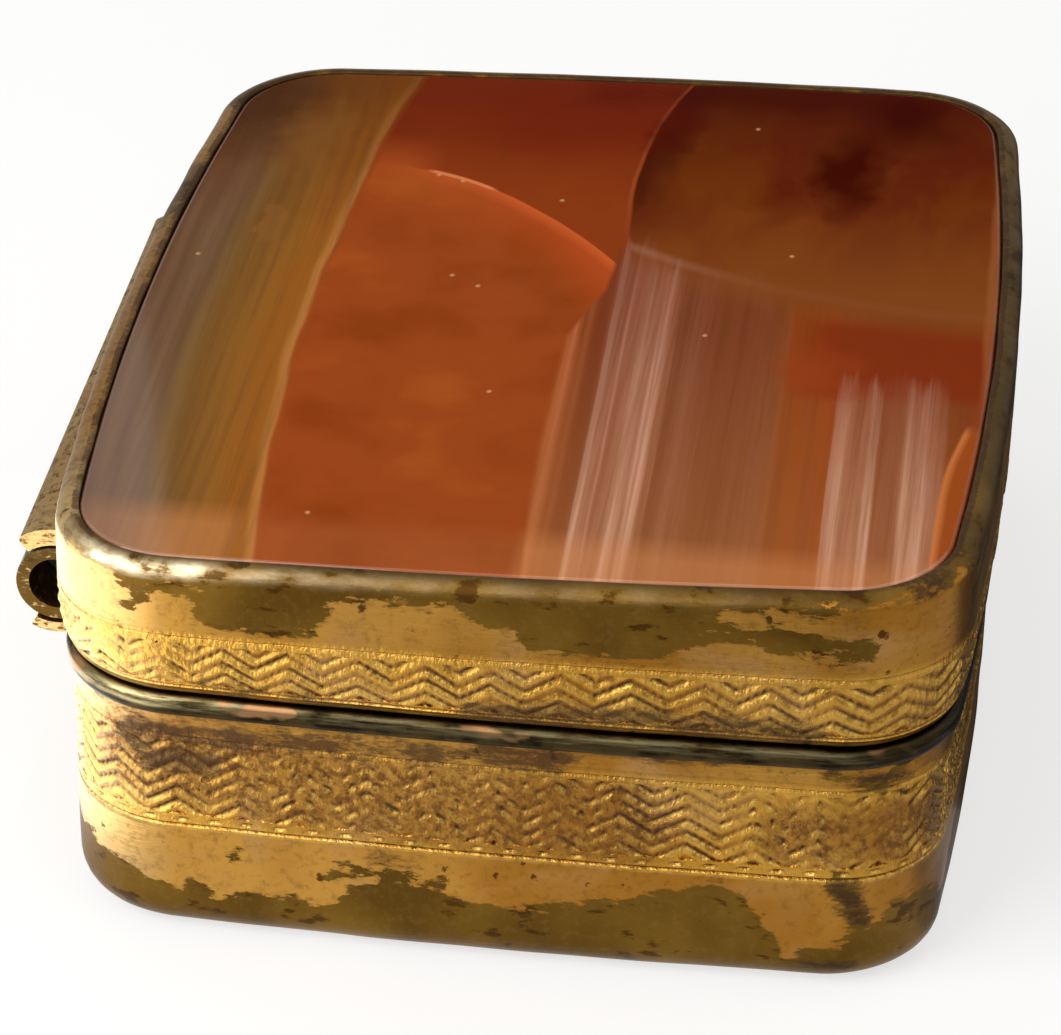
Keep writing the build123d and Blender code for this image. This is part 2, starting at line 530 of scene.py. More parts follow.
@dataclass
class EngravedWall:
    """A wall of the box, laid ring by ring round the plan, with its engraving and its worn patches.

    Heights are above the wall's lower edge, and slope is the rise of a fully slanted ring towards the opening
    side. Foot and crown are the lines below and above which the gilding is gone, and polish is how bright the
    shoulder is along the plan, from rubbing and from a painted highlight.
    """

    name: str
    plan: Plan
    band: ChevronBand
    rings: list[Ring]
    ripples: Ripples
    worn: tuple[Patch, ...]
    rubbed: tuple[Patch, ...] = ()
    soiled: tuple[Patch, ...] = ()
    pecked: tuple[Patch, ...] = ()
    dulled: tuple[Patch, ...] = ()
    foot: Line = ()
    crown: Line = ()
    polish_and_highlight: Line = ((0.0, 1.0),)
    bottom: float = 0.0
    slope: float = 0.0
    swell: float = 0.0
    flare: float = 0.0
    flare_height: float = 0.0
    closed: bool = False
    peck_fade: float = 0.8
    rub_depth: float = 0.85
    dull_start: float = 0.3
    dull_fade: float = 1.2
    front_clear: float = 0.6

    def form(self, height: Field) -> Field:
        """Work out how far the wall stands out of the plan.

        Args:
            height: heights on the wall.

        Returns:
            The distance at each height.
        """
        if not self.flare:
            return np.full_like(height, self.swell)
        radius = (self.flare**2 + self.flare_height**2) / (2 * self.flare)
        below = np.clip(self.flare_height - height, 0, self.flare_height)
        return self.swell - radius + np.sqrt(radius**2 - below**2)

    def engrave(self, ring: Ring, along: Field, girth: float) -> tuple[Field, Field, Field]:
        """Work out where a ring runs and how deep it is cut.

        Args:
            ring: the ring.
            along: distances along the plan.
            girth: length of the whole plan.

        Returns:
            Its height, its share of the engraving's depth, and its share of a painted glint.
        """
        level = ring.level or Level(ring.height)
        height = np.full_like(along, ring.height)
        force = np.ones_like(along)
        if level.row is not None:
            height, force = self.band.strokes(level, along, girth)
            broken = deepest(self.pecked, along, height + self.bottom) / self.peck_fade
            broken = np.clip(broken + 0.5, 0, 1)
            force = force * (1 - broken * self.band.pecks(level.row, along))
        if level.dashed:
            force = force * self.band.dash(along)
        rubbed = np.clip(deepest(self.rubbed, along, height + self.bottom), 0, 1)
        force = force * (1 - self.rub_depth * rubbed)
        return height, force * level.cut, force * level.lit

    def place(self, ring: Ring, along: Field, girth: float) -> tuple[Field, dict[str, Field]]:
        """Work out the points of one ring.

        Args:
            ring: the ring.
            along: distances along the plan.
            girth: length of the whole plan.

        Returns:
            The points, and by name what the finish needs to know of each.
        """
        height, groove, lit = self.engrave(ring, along, girth)
        level = height + self.bottom
        rubbed = np.clip(deepest(self.rubbed, along, level), 0, 1)
        dull = self.dull_start + deepest(self.dulled, along, level) / self.dull_fade
        worn = 0.5 + 0.5 * deepest(self.worn, along, level)
        if self.foot:
            edge = np.interp(along, *np.transpose(self.foot), period=girth)
            worn = np.maximum(worn, 0.5 + 0.5 * (edge - level))
        if self.crown:
            edge = np.interp(along, *np.transpose(self.crown), period=girth)
            worn = np.maximum(worn, 0.5 + 0.5 * (level - edge))
        soil = np.maximum(np.clip(0.5 + deepest(self.soiled, along, level), 0, 1), ring.soil)
        pushed = groove * self.band.depth
        grow = self.form(height) if ring.grow is None else np.full_like(along, ring.grow)
        if not ring.inside:
            pushed = pushed + self.ripples.at(along, height, girth)
        outline = self.plan.loop(0.0)
        outline = outline + (self.plan.loop(1.0) - outline) * (grow - pushed)[:, None]
        level = level + ring.slant * self.slope * outline[:, 0]
        # Painted shade: darkens the stone's edge away from the front, carried with the dirt
        behind = outline[:, 1] + self.plan.depth / 2 - self.front_clear
        soil = np.maximum(soil, ring.shade * np.clip(behind, 0, 1))
        cut = 0.0 if ring.level is None else 1.0
        facts = {
            "groove": groove,
            "lit": lit,
            "soil": soil,
            "wear": np.clip(worn, 0, 1),
            "rub_and_highlight": ring.rub_and_highlight * np.interp(along, *np.transpose(self.polish_and_highlight), period=girth),
            "engraved": cut * (1 - rubbed),
            "dull": np.clip(dull, 0, 1),
        }
        return np.column_stack([outline, level]), facts

    def build(self) -> Piece:
        """Lay the rings over a grid, close it, and keep what the finish needs on its points.

        Returns:
            The wall as one closed mesh.
        """
        along = self.plan.along()
        girth = self.plan.girth()
        rings = self.rings + self.rings[:1] if self.closed else self.rings
        points, facts = zip(*(self.place(ring, along, girth) for ring in rings))
        deselect_everything()
        bpy.ops.mesh.primitive_grid_add(x_subdivisions=len(along), y_subdivisions=len(rings) - 1)
        wall = bpy.context.object
        wall.name = wall.data.name = self.name
        seamed = np.array([np.vstack([p, p[:1]]) for p in points])
        wall.data.vertices.foreach_set("co", (seamed * MM).astype(np.float32).ravel())
        for title in facts[0]:
            layer = wall.data.attributes.new(title, "FLOAT", "POINT")
            values = [np.append(f[title], f[title][0]) for f in facts]
            layer.data.foreach_set("value", np.array(values, np.float32).ravel())
        inner = np.array([r.inside for r in rings])
        lining = np.repeat(inner[:-1] & inner[1:], len(along))
        wall.data.polygons.foreach_set("material_index", lining.astype(np.int32))
        wall.data.update()
        self.close(wall)
        return wall

    def close(self, wall: Piece) -> None:
        """Weld the seam of a wall, cap its open rings and turn its faces outwards.

        Args:
            wall: the wall.
        """
        select_only(wall)
        bpy.ops.object.mode_set(mode="EDIT")
        bpy.ops.mesh.select_all(action="SELECT")
        bpy.ops.mesh.remove_doubles(threshold=WELD_REACH)
        if not self.closed:
            bpy.ops.mesh.select_all(action="DESELECT")
            bpy.ops.mesh.select_mode(type="EDGE")
            bpy.ops.mesh.select_non_manifold(extend=False)
            bpy.ops.mesh.fill_holes(sides=0)
        bpy.ops.mesh.select_all(action="SELECT")
        bpy.ops.mesh.normals_make_consistent(inside=False)
        bpy.ops.object.mode_set(mode="OBJECT")


class Wear(Enum):
    """How much gilding a plain piece has lost."""

    NONE = -0.5
    LIGHT = -0.08
    HEAVY = 0.08


@dataclass(frozen=True)
class WornGilding:
    """Fire-gilt brass: soft gold where the gilding holds, olive brass with brown tarnish where it is gone.

    The gilding was burnished by hand, so it has a satin gloss with faint scratches along the wall. Where it
    is engraved, its ridges get a painted highlight and the lower side of its cuts a painted glint, and where
    the brass is bare a painted highlight lies on the rubbed shoulder. The sizes of its clouds, pits, stains,
    crumbs of dirt and grain are in millimetres, and without a wear of its own it follows the wall's.
    """

    name: str
    wear: Wear | None = None
    gold: str = "#BA883C"
    deep_gold: str = "#A06C26"
    rosy_gold: str = "#B08248"
    # Colour of the painted highlight on the engraved ridges
    ridge_highlight_gold: str = "#D9A63F"
    pale_gold: str = "#D8BE86"
    # Colour of the painted glint along the lower side of the cuts
    painted_glint: str = "#EDC05E"
    # Pale colour of rubbed brass, which also carries the painted highlight on the shoulder
    rubbed_and_highlight_silver: str = "#E6D8B6"
    dull_gold: str = "#744A22"
    brass: str = "#77571D"
    dark_brass: str = "#5C4114"
    pale_brass: str = "#8F7A45"
    tarnish: str = "#3D230B"
    dirt: str = "#3A2109"
    gold_roughness: float = 0.34
    brass_roughness: float = 0.44
    flake: float = 1.7
    scratch: float = 0.35
    graver: float = 0.26
    drift_size: float = 9.0
    rosy_size: float = 5.0
    pit_size: float = 1.1
    cloud_size: float = 6.0
    stain_size: float = 2.2
    crumb_size: float = 0.7
    grain_size: float = 0.45

    def worn_field(self, add: Add, place: Node) -> Node:
        """Work out how far each place is past the ragged edge of the gilding, with 0.5 at the edge.

        Args:
            add: adds a node to the material.
            place: node with the place in millimetres.

        Returns:
            The node with the value.
        """
        flat = add("Mapping", place, named={"Scale": (1.0, 1.0, 2.6)})
        ragged = add("TexNoise", flat, named={"Scale": 1 / self.flake, "Detail": 8.0, "Roughness": 0.68})
        if self.wear is not None:
            return add("Math", ragged, self.wear.value, operation="ADD")
        layer = add("Attribute", attribute_name="wear").outputs["Fac"]
        swing = add("Math", ragged, 0.5, operation="SUBTRACT")
        return add("Math", swing, 1.5, layer, operation="MULTIPLY_ADD")

    def gilding(self, add: Add, place: Node, grain: Node) -> Node:
        """Colour the gilding that holds, which is thinner and rosier in clouds and pitted with tarnish.

        Args:
            add: adds a node to the material.
            place: node with the place in millimetres.
            grain: fine noise.

        Returns:
            The node with the colour.
        """
        drift = add("TexNoise", place, named={"Scale": 1 / self.drift_size, "Detail": 3.0})
        rosy = add("TexNoise", place, named={"Scale": 1 / self.rosy_size, "Distortion": 0.5})
        spots = add("TexNoise", place, named={"Scale": 1 / self.pit_size, "Detail": 4.0})
        parts = add("SeparateXYZ", place)
        across = parts.outputs[0]
        drift = add("Math", across, 0.006, drift, operation="MULTIPLY_ADD")
        thin = add("MapRange", drift, 0.42, 0.6)
        colour = add("Mix", thin, self.gold, self.deep_gold)
        warm = add("MapRange", rosy, 0.54, 0.68)
        colour = add("Mix", warm, colour, self.rosy_gold)
        # Paler gold towards the front-left corner
        paler_front_left = add("MapRange", across, -14.5, -18.5, 0.0, 0.6)
        front = add("MapRange", parts.outputs[1], -13.0, -19.0)
        paler_front_left = add("Math", paler_front_left, front, operation="MULTIPLY")
        colour = add("Mix", paler_front_left, colour, self.pale_gold)
        dull = add("MapRange", grain, 0.5, 0.78, 0.0, 0.5)
        colour = add("Mix", dull, colour, self.dark_brass)
        pitted = add("MapRange", spots, 0.67, 0.7, 0.0, 0.85)
        return add("Mix", pitted, colour, self.tarnish)

    def bare_brass(self, add: Add, place: Node, grain: Node) -> Node:
        """Colour the brass where the gilding is gone, olive with paler rubbing, a silvery painted highlight
        where the shoulder is rubbed, and brown stains.

        Args:
            add: adds a node to the material.
            place: node with the place in millimetres.
            grain: fine noise.

        Returns:
            The node with the colour.
        """
        flat = add("Mapping", place, named={"Scale": (1.0, 1.0, 2.5)})
        drift = add("TexNoise", place, named={"Scale": 1 / self.cloud_size})
        stains = add("TexNoise", flat, named={"Scale": 1 / self.stain_size, "Detail": 6.0, "Roughness": 0.6})
        shaded = add("MapRange", drift, 0.38, 0.6)
        colour = add("Mix", shaded, self.brass, self.dark_brass)
        rubbed = add("MapRange", grain, 0.5, 0.8, 0.0, 0.22)
        colour = add("Mix", rubbed, colour, self.pale_brass)
        streaky = add("MapRange", stains, 0.62, 0.42, 0.1, 0.9)
        # Painted highlight, partly rubbing: the shoulder goes pale and silvery where rub is high
        rub_and_highlight = add("Attribute", attribute_name="rub_and_highlight").outputs["Fac"]
        bright = add("Math", rub_and_highlight, streaky, operation="MULTIPLY")
        colour = add("Mix", bright, colour, self.rubbed_and_highlight_silver)
        stained = add("MapRange", stains, 0.59, 0.64, 0.0, 0.75)
        return add("Mix", stained, colour, self.tarnish)

    def dirty(self, add: Add, place: Node) -> Node:
        """Work out where brown dirt lies, in the cuts and in broken patches where it has gathered, and where
        painted shade lies along the stone's edge.

        Args:
            add: adds a node to the material.
            place: node with the place in millimetres.

        Returns:
            The node with the share that the dirt covers.
        """
        groove = add("Attribute", attribute_name="groove").outputs["Fac"]
        soil = add("Attribute", attribute_name="soil").outputs["Fac"]
        in_cuts = add("MapRange", groove, 0.35, 0.8, 0.0, 0.9)
        streaky = add("Mapping", place, named={"Scale": (0.45, 0.45, 1.4)})
        ragged = add(
            "TexNoise", streaky, named={"Scale": 1 / self.crumb_size, "Detail": 7.0, "Roughness": 0.8}
        )
        broken = add("Math", ragged, 3.4, soil, operation="MULTIPLY_ADD")
        gathered = add("MapRange", broken, 2.1, 2.7, 0.0, 0.85)
        return add("Math", in_cuts, gathered, operation="MAXIMUM")

    def relief(self, add: Add, place: Node, worn: Node) -> Node:
        """Give the surface its fine relief: scratches, the edge of the gilding, and the graver's marks.

        Args:
            add: adds a node to the material.
            place: node with the place in millimetres.
            worn: node with the share of gilding that is gone.

        Returns:
            The node with the bent normal.
        """
        level = add("Mapping", place, named={"Scale": (0.25, 0.25, 2.0)})
        scratches = add("TexNoise", level, named={"Scale": 1 / self.scratch, "Detail": 3.0, "Roughness": 0.7})
        upright = add("Mapping", place, named={"Scale": (1.0, 1.0, 0.55)})
        marks = add("TexNoise", upright, named={"Scale": 1 / self.graver, "Detail": 3.0, "Roughness": 0.6})
        engraved = add("Attribute", attribute_name="engraved").outputs["Fac"]
        cuts = add("Math", marks, engraved, operation="MULTIPLY")
        height = add("Math", cuts, 5.0, scratches, operation="MULTIPLY_ADD")
        height = add("Math", worn, -0.4, height, operation="MULTIPLY_ADD")
        return add("Bump", named={"Height": height, "Distance": 0.03 * MM, "Strength": 0.8})

    def build(self) -> Material:
        """Make the material.

        Returns:
            The material.
        """
        material, add, place = start_material(self.name)
        past = self.worn_field(add, place)
        worn = add("MapRange", past, 0.488, 0.512)
        rim = add("MapRange", past, 0.42, 0.49, 0.0, 0.4)
        grain = add("TexNoise", place, named={"Scale": 1 / self.grain_size, "Detail": 3.0, "Roughness": 0.7})
        gold = self.gilding(add, place, grain)
        gold = add("Mix", rim, gold, self.tarnish)
        facts = ("engraved", "groove", "dull", "lit", "soil")
        layers = [add("Attribute", attribute_name=fact) for fact in facts]
        engraved, groove, dull, lit, soil = (layer.outputs["Fac"] for layer in layers)
        # Painted highlight: the ridges between the cuts are lightened, less where the gold is dulled
        ridge_highlight = add("MapRange", groove, 0.0, 0.25, 0.4, 0.0)
        kept = add("Math", dull, -0.8, 1.0, operation="MULTIPLY_ADD")
        for share in (engraved, kept):
            ridge_highlight = add("Math", ridge_highlight, share, operation="MULTIPLY")
        gold = add("Mix", ridge_highlight, gold, self.ridge_highlight_gold)
        mottled = add("MapRange", grain, 0.4, 0.62, 0.3, 0.95)
        browned = add("Math", dull, mottled, operation="MULTIPLY")
        gold = add("Mix", browned, gold, self.dull_gold)
        colour = add("Mix", worn, gold, self.bare_brass(add, place, grain))
        dirty = self.dirty(add, place)
        colour = add("Mix", dirty, colour, self.dirt)
        # Painted glint: a bright line along the lower side of each cut, weaker where dulled or soiled, broken
        # by grain
        kept = add("Math", dull, -0.45, 1.0, operation="MULTIPLY_ADD")
        clean = add("MapRange", soil, 0.0, 1.0, 1.0, 0.25)
        glinting = add("MapRange", grain, 0.6, 0.44, 0.1, 0.9)
        for share in (kept, clean, glinting):
            lit = add("Math", lit, share, operation="MULTIPLY")
        colour = add("Mix", lit, colour, self.painted_glint)
        rough = add("MapRange", worn, 0.0, 1.0, self.gold_roughness, self.brass_roughness)
        rough = add("Math", dirty, 0.25, rough, operation="MULTIPLY_ADD")
        metal = add("MapRange", dirty, 0.0, 1.0, 1.0, 0.7)
        normal = self.relief(add, place, worn)
        skin = {"Base Color": colour, "Metallic": metal, "Roughness": rough, "Normal": normal}
        add("OutputMaterial", add("BsdfPrincipled", named=skin))
        return material


@dataclass(frozen=True)
class PlainMetal:
    """Drawn or turned metal with a fine grain and no gilding."""

    name: str
    colour: str
    shade: str
    roughness: float
    grain: float = 0.5
    patch: float = 2.5

    def build(self) -> Material:
        """Make the material.

        Returns:
            The material.
        """
        material, add, place = start_material(self.name)
        clouds = add("TexNoise", place, named={"Scale": 1 / self.patch, "Detail": 5.0, "Roughness": 0.65})
        fine = add("TexNoise", place, named={"Scale": 1 / self.grain, "Detail": 3.0})
        mottled = add("MapRange", clouds, 0.42, 0.6)
        colour = add("Mix", mottled, self.colour, self.shade)
        rough = add("MapRange", fine, 0.3, 0.7, self.roughness - 0.1, self.roughness + 0.12)
        bump = add("Bump", named={"Height": fine, "Distance": 0.02 * MM, "Strength": 0.5})
        skin = {"Base Color": colour, "Metallic": 1.0, "Roughness": rough, "Normal": bump}
        add("OutputMaterial", add("BsdfPrincipled", named=skin))
        return material


@dataclass(frozen=True)
class RubbedBead:
    """Brass bead gone dark green-brown, with a broken silvery painted highlight along its rubbed crest, some
    gilding left, and painted shade at its right end.

    The heights of the crest and the sizes of its streaks, rests of gilding and clouds are in millimetres.
    """

    name: str = "tarnished_brass_bead"
    dark: str = "#40341C"
    darker_and_shade: str = "#20180B"
    crest_highlight: str = "#978A64"
    gold: str = "#96704C"
    crest_low: float = 12.5
    crest_high: float = 12.9
    roughness: float = 0.3
    streak_size: float = 0.4
    rest_size: float = 1.1
    cloud_size: float = 1.5

    def build(self) -> Material:
        """Make the material.

        Returns:
            The material.
        """
        material, add, place = start_material(self.name)
        drawn_out = add("Mapping", place, named={"Scale": (0.14, 0.14, 1.3)})
        streaks = add(
            "TexNoise", drawn_out, named={"Scale": 1 / self.streak_size, "Detail": 5.0, "Roughness": 0.7}
        )
        longer = add("Mapping", place, named={"Scale": (0.22, 0.22, 0.4)})
        rests = add("TexNoise", longer, named={"Scale": 1 / self.rest_size, "Detail": 3.0})
        clouds = add("TexNoise", place, named={"Scale": 1 / self.cloud_size, "Detail": 4.0})
        shaded = add("MapRange", clouds, 0.42, 0.6)
        colour = add("Mix", shaded, self.dark, self.darker_and_shade)
        across, _, height = add("SeparateXYZ", place).outputs
        # Painted highlight, partly a rubbed crest: a broken silvery streak along the crest, strongest on the
        # left
        rubbed = strip_mask(add, height, self.crest_low, self.crest_high, 0.14)
        rubbed = add("Math", rubbed, add("MapRange", streaks, 0.42, 0.6), operation="MULTIPLY")
        highlight_to_left = add("MapRange", across, -15.0, -9.0, 1.0, 0.35)
        rubbed = add("Math", rubbed, highlight_to_left, operation="MULTIPLY")
        colour = add("Mix", rubbed, colour, self.crest_highlight)
        gilt = strip_mask(add, height, self.crest_low - 0.1, self.crest_high, 0.1)
        gilt = add("Math", gilt, add("MapRange", rests, 0.555, 0.585), operation="MULTIPLY")
        colour = add("Mix", gilt, colour, self.gold)
        # Painted shade: the bead's right end goes dark, as in the shadow under the lid's mouth
        painted_right_shade = add("MapRange", across, 14.5, 18.0, 0.0, 0.8)
        colour = add("Mix", painted_right_shade, colour, self.darker_and_shade)
        relief = add("Bump", named={"Height": streaks, "Distance": 0.02 * MM, "Strength": 0.6})
        skin = {"Base Color": colour, "Metallic": 1.0, "Roughness": self.roughness, "Normal": relief}
        add("OutputMaterial", add("BsdfPrincipled", named=skin))
        return material


@dataclass(frozen=True)
class Cement:
    """Dark resin cement that beds the stone, matte and slightly grainy."""

    name: str = "resin_cement"
    colour: str = "#3A2A1C"
    shade: str = "#241810"
    grit: float = 0.4

    def build(self) -> Material:
        """Make the material.

        Returns:
            The material.
        """
        material, add, place = start_material(self.name)
        grain = add("TexNoise", place, named={"Scale": 1 / self.grit, "Detail": 4.0})
        mottled = add("MapRange", grain, 0.35, 0.65)
        colour = add("Mix", mottled, self.colour, self.shade)
        bump = add("Bump", named={"Height": grain, "Distance": 0.05 * MM, "Strength": 0.6})
        skin = {"Base Color": colour, "Roughness": 0.85, "Normal": bump}
        add("OutputMaterial", add("BsdfPrincipled", named=skin))
        return material


@dataclass(frozen=True)
class BentLine:
    """Bent line in the stone: start + slope * (along - middle) + bend * (along - middle) squared."""

    start: float
    bend: float
    middle: float
    slope: float = 0.0

    def past(self, add: Add, across: Any, along: Any) -> Node:
        """Work out how far places lie past the line.

        Args:
            add: adds a node to the material.
            across: place across the line.
            along: place along the line.

        Returns:
            The node with the distance, negative before the line.
        """
        offset = add("Math", along, self.middle, operation="SUBTRACT")
        turned = add("Math", offset, self.bend, self.slope, operation="MULTIPLY_ADD")
        line = add("Math", offset, turned, self.start, operation="MULTIPLY_ADD")
        return add("Math", across, line, operation="SUBTRACT")


def strip_mask(add: Add, across: Any, low: float, high: float, soft: float, strength: float = 1.0) -> Node:
    """Work out a mask that holds between two places and fades outside them.

    Args:
        add: adds a node to the material.
        across: place across the strip.
        low: first place.
        high: last place.
        soft: width of the fade.
        strength: value inside.

    Returns:
        The node with the mask.
    """
    rise = add("MapRange", across, low - soft, low, 0.0, strength)
    fall = add("MapRange", across, high, high + soft, 1.0, 0.0)
    return add("Math", rise, fall, operation="MULTIPLY")


@dataclass(frozen=True)
class Bands:
    """Run of bands across the stone: at each place in millimetres a colour, or an amount from 0 to 1."""

    stops: tuple[tuple[float, str | float], ...]

    def build(self, add: Add, across: Any) -> Node:
        """Lay the bands.

        Args:
            add: adds a node to the material.
            across: place across the bands.

        Returns:
            The node with the colour or the amount.
        """
        first, last = self.stops[0][0], self.stops[-1][0]
        ramp = add("ValToRGB", add("MapRange", across, first, last))
        elements = ramp.color_ramp.elements
        for place, _ in self.stops[1:-1]:
            elements.new((place - first) / (last - first))
        for element, (_, value) in zip(elements, self.stops):
            element.color = linear(value) if isinstance(value, str) else (value, value, value, 1.0)
        return ramp


@dataclass(frozen=True)
class Stain:
    """Soft oval of colour in the stone, in millimetres from its middle."""

    x: float
    y: float
    wide: float
    deep: float
    colour: str
    strength: float = 1.0
    core: float = 0.3
    thick: float = 1000.0

    def lay(self, add: Add, place: Any, below: Node) -> Node:
        """Lay the stain over a colour.

        Args:
            add: adds a node to the material.
            place: place on the stone in millimetres.
            below: node with the colour below.

        Returns:
            The node with the new colour.
        """
        shape = {"Location": (self.x, self.y, 0.0), "Scale": (self.wide, self.deep, self.thick)}
        local = add("Mapping", place, named=shape, vector_type="TEXTURE")
        away = add("VectorMath", local, operation="LENGTH").outputs["Value"]
        mask = add("MapRange", away, 1.0, self.core, 0.0, self.strength)
        return add("Mix", mask, below, self.colour)


@dataclass(frozen=True)
class BandedAgate:
    """Polished banded agate: an orange heart between straight mauve bands, with a shelly flaw behind.

    It is cut and polished flat, so it has a glassy gloss over clouds and lines that lie within the stone, and
    a painted reflection lightens its front edge.
    Places are in millimetres from the middle of the stone, x towards the opening side and y towards the back.
    """

    name: str = "polished_banded_agate"
    roughness: float = 0.07
    left: Bands = Bands((
        (-20.7, "#5E4232"), (-19.9, "#72523A"), (-19.3, "#6A4C36"), (-18.6, "#75573D"), (-17.9, "#6E5036"),
        (-17.3, "#7A5A34"), (-16.7, "#785226"), (-15.6, "#835724"), (-14.6, "#8D5A22"), (-13.6, "#92571E"),
        (-12.95, "#95591E"), (-12.7, "#A86C31"), (-12.5, "#AE7038"), (-12.3, "#97491B"),
        (-11.8, "#94431A"),
    ))
    heart: str = "#97441A"
    heart_dark: str = "#86390F"
    heart_light: str = "#A8521E"
    bright: str = "#B44A1E"
    glow: str = "#CC5F2C"
    chip: str = "#D57A4A"
    behind_shell: str = "#8A3914"
    far: str = "#6F250D"
    night: str = "#480F06"
    ochre: str = "#85471C"
    back_dark: str = "#65250D"
    back_light: str = "#77390F"
    arc_shade: str = "#3A0E07"
    arc_rim: str = "#A4502C"
    slant_pale: str = "#986448"
    strip_line: str = "#5E2F18"
    strip_front: str = "#B0703C"
    strip_red: str = "#802F11"
    edge_light: str = "#9C5A30"
    left_line: str = "#5C3A20"
    left_rust: str = "#63310F"
    strips: Bands = Bands((
        (0.0, "#97441A"), (0.2, "#9A481E"), (0.35, "#A9592F"), (0.65, "#AE603A"), (0.85, "#9C4E28"),
        (1.0, "#8A4422"), (1.25, "#904A28"), (1.45, "#7E3A1E"), (2.0, "#7C3A20"), (2.25, "#8A4C34"),
        (3.0, "#84462E"), (3.7, "#8A4C32"), (5.2, "#8A4A2C"), (5.5, "#7A4024"), (6.8, "#7C4022"),
        (8.6, "#783B1D"), (10.3, "#7E401F"), (10.75, "#8A4824"), (10.95, "#8A4018"), (12.0, "#8E4014"),
        (13.25, "#943F14"), (13.4, "#8A4222"), (16.3, "#7C3718"), (18.5, "#803A18"), (20.8, "#822F10"),
    ))
    inner_milk: Bands = Bands((
        (2.0, 0.0), (2.17, 0.05), (2.24, 1.0), (2.45, 1.0), (2.55, 0.35), (2.9, 0.25), (3.0, 0.6),
        (3.12, 0.2), (3.65, 0.3), (3.8, 0.7), (3.95, 0.95), (4.1, 0.6), (4.45, 0.5), (4.6, 0.95),
        (4.7, 0.55), (4.85, 1.0), (5.0, 0.8), (5.15, 0.2), (5.4, 0.3), (5.5, 0.05), (6.4, 0.15),
        (7.6, 0.03), (10.2, 0.08), (11.0, 0.0),
    ))
    outer_milk: Bands = Bands((
        (13.3, 0.0), (13.38, 0.5), (13.9, 0.8), (14.1, 0.35), (14.9, 0.4), (15.05, 1.0), (15.35, 0.9),
        (15.5, 0.15), (16.5, 0.2), (16.75, 0.8), (17.05, 0.6), (17.2, 0.9), (17.6, 0.85), (17.8, 0.45),
        (18.3, 0.4), (18.6, 0.0),
    ))
    milk: str = "#A8735E"
    milk_front: str = "#D09C7E"
    # Colour of the painted reflection along the stone's front edge
    painted_front_reflection: str = "#CF8650"
    front_reflection_share: Bands = Bands((
        (-20.0, 0.1), (-17.5, 0.22), (-15.0, 0.42), (-12.6, 0.38), (-11.8, 0.1), (0.2, 0.12), (0.9, 0.4),
        (10.0, 0.4), (20.0, 0.3),
    ))
    ember: str = "#98491B"
    ember_edge: str = "#C4713C"
    stains: tuple[Stain, ...] = (
        Stain(12.4, 15.5, 2.0, 7.0, "#3E0703", 0.9),
        Stain(15.0, 22.5, 3.0, 5.0, "#380603", 0.8),
        Stain(9.0, 24.0, 9.0, 3.0, "#430D05", 0.7),
        Stain(3.2, 19.5, 1.6, 5.5, "#440B05", 0.7),
        Stain(9.5, 12.5, 2.2, 3.0, "#56190A", 0.5),
        Stain(-2.0, 20.0, 7.0, 5.0, "#701F0B", 0.5),
        Stain(0.0, 23.5, 3.0, 2.5, "#5A140A", 0.6),
        Stain(-19.0, 22.0, 4.5, 9.0, "#3F2412", 0.7),
        Stain(-15.9, 7.0, 1.1, 2.2, "#8A5A2C", 0.5, 0.8),
        Stain(-15.3, 17.0, 2.4, 5.0, "#8A5A2A", 0.45),
        Stain(12.5, -5.5, 2.6, 3.2, "#943D17", 0.7),
    )
    specks: Line = (
        (-18.75, 3.7), (-6.0, 2.6), (-4.6, 1.6), (-1.65, 11.1), (6.8, -2.4), (7.4, 20.1), (10.25, 6.1),
        (-2.65, -8.8), (-9.2, -20.6), (-8.2, 13.4), (-6.9, 12.8),
    )
    speck_colour: str = "#CE9468"
    speck_size: tuple[float, float] = (0.16, 0.2)
    shell_edge: BentLine = BentLine(5.25, -0.0549, 1.25, -1.407)
    heart_edge: BentLine = BentLine(-12.35, 0.00265, -0.5)
    left_bend: BentLine = BentLine(0.0, 0.00265, -0.5)
    dark_arc: BentLine = BentLine(1.8, 0.011, 12.5)
    slanting_band: BentLine = BentLine(5.0, 0.0165, 4.5, -0.55)
    strips_edge: BentLine = BentLine(0.2, 0.0025, -8.0)
    wedge: BentLine = BentLine(18.5, 0.0095, -17.5, 0.045)
    right_line: BentLine = BentLine(20.25, -0.0011, 0.0)
    lean: float = 0.0145
    drift_size: float = 9.0
    cloud_size: float = 6.0
    wisp_size: float = 3.2
    line_size: float = 0.55
    swirl_size: float = 2.5
    swirl_reach: float = 3.5

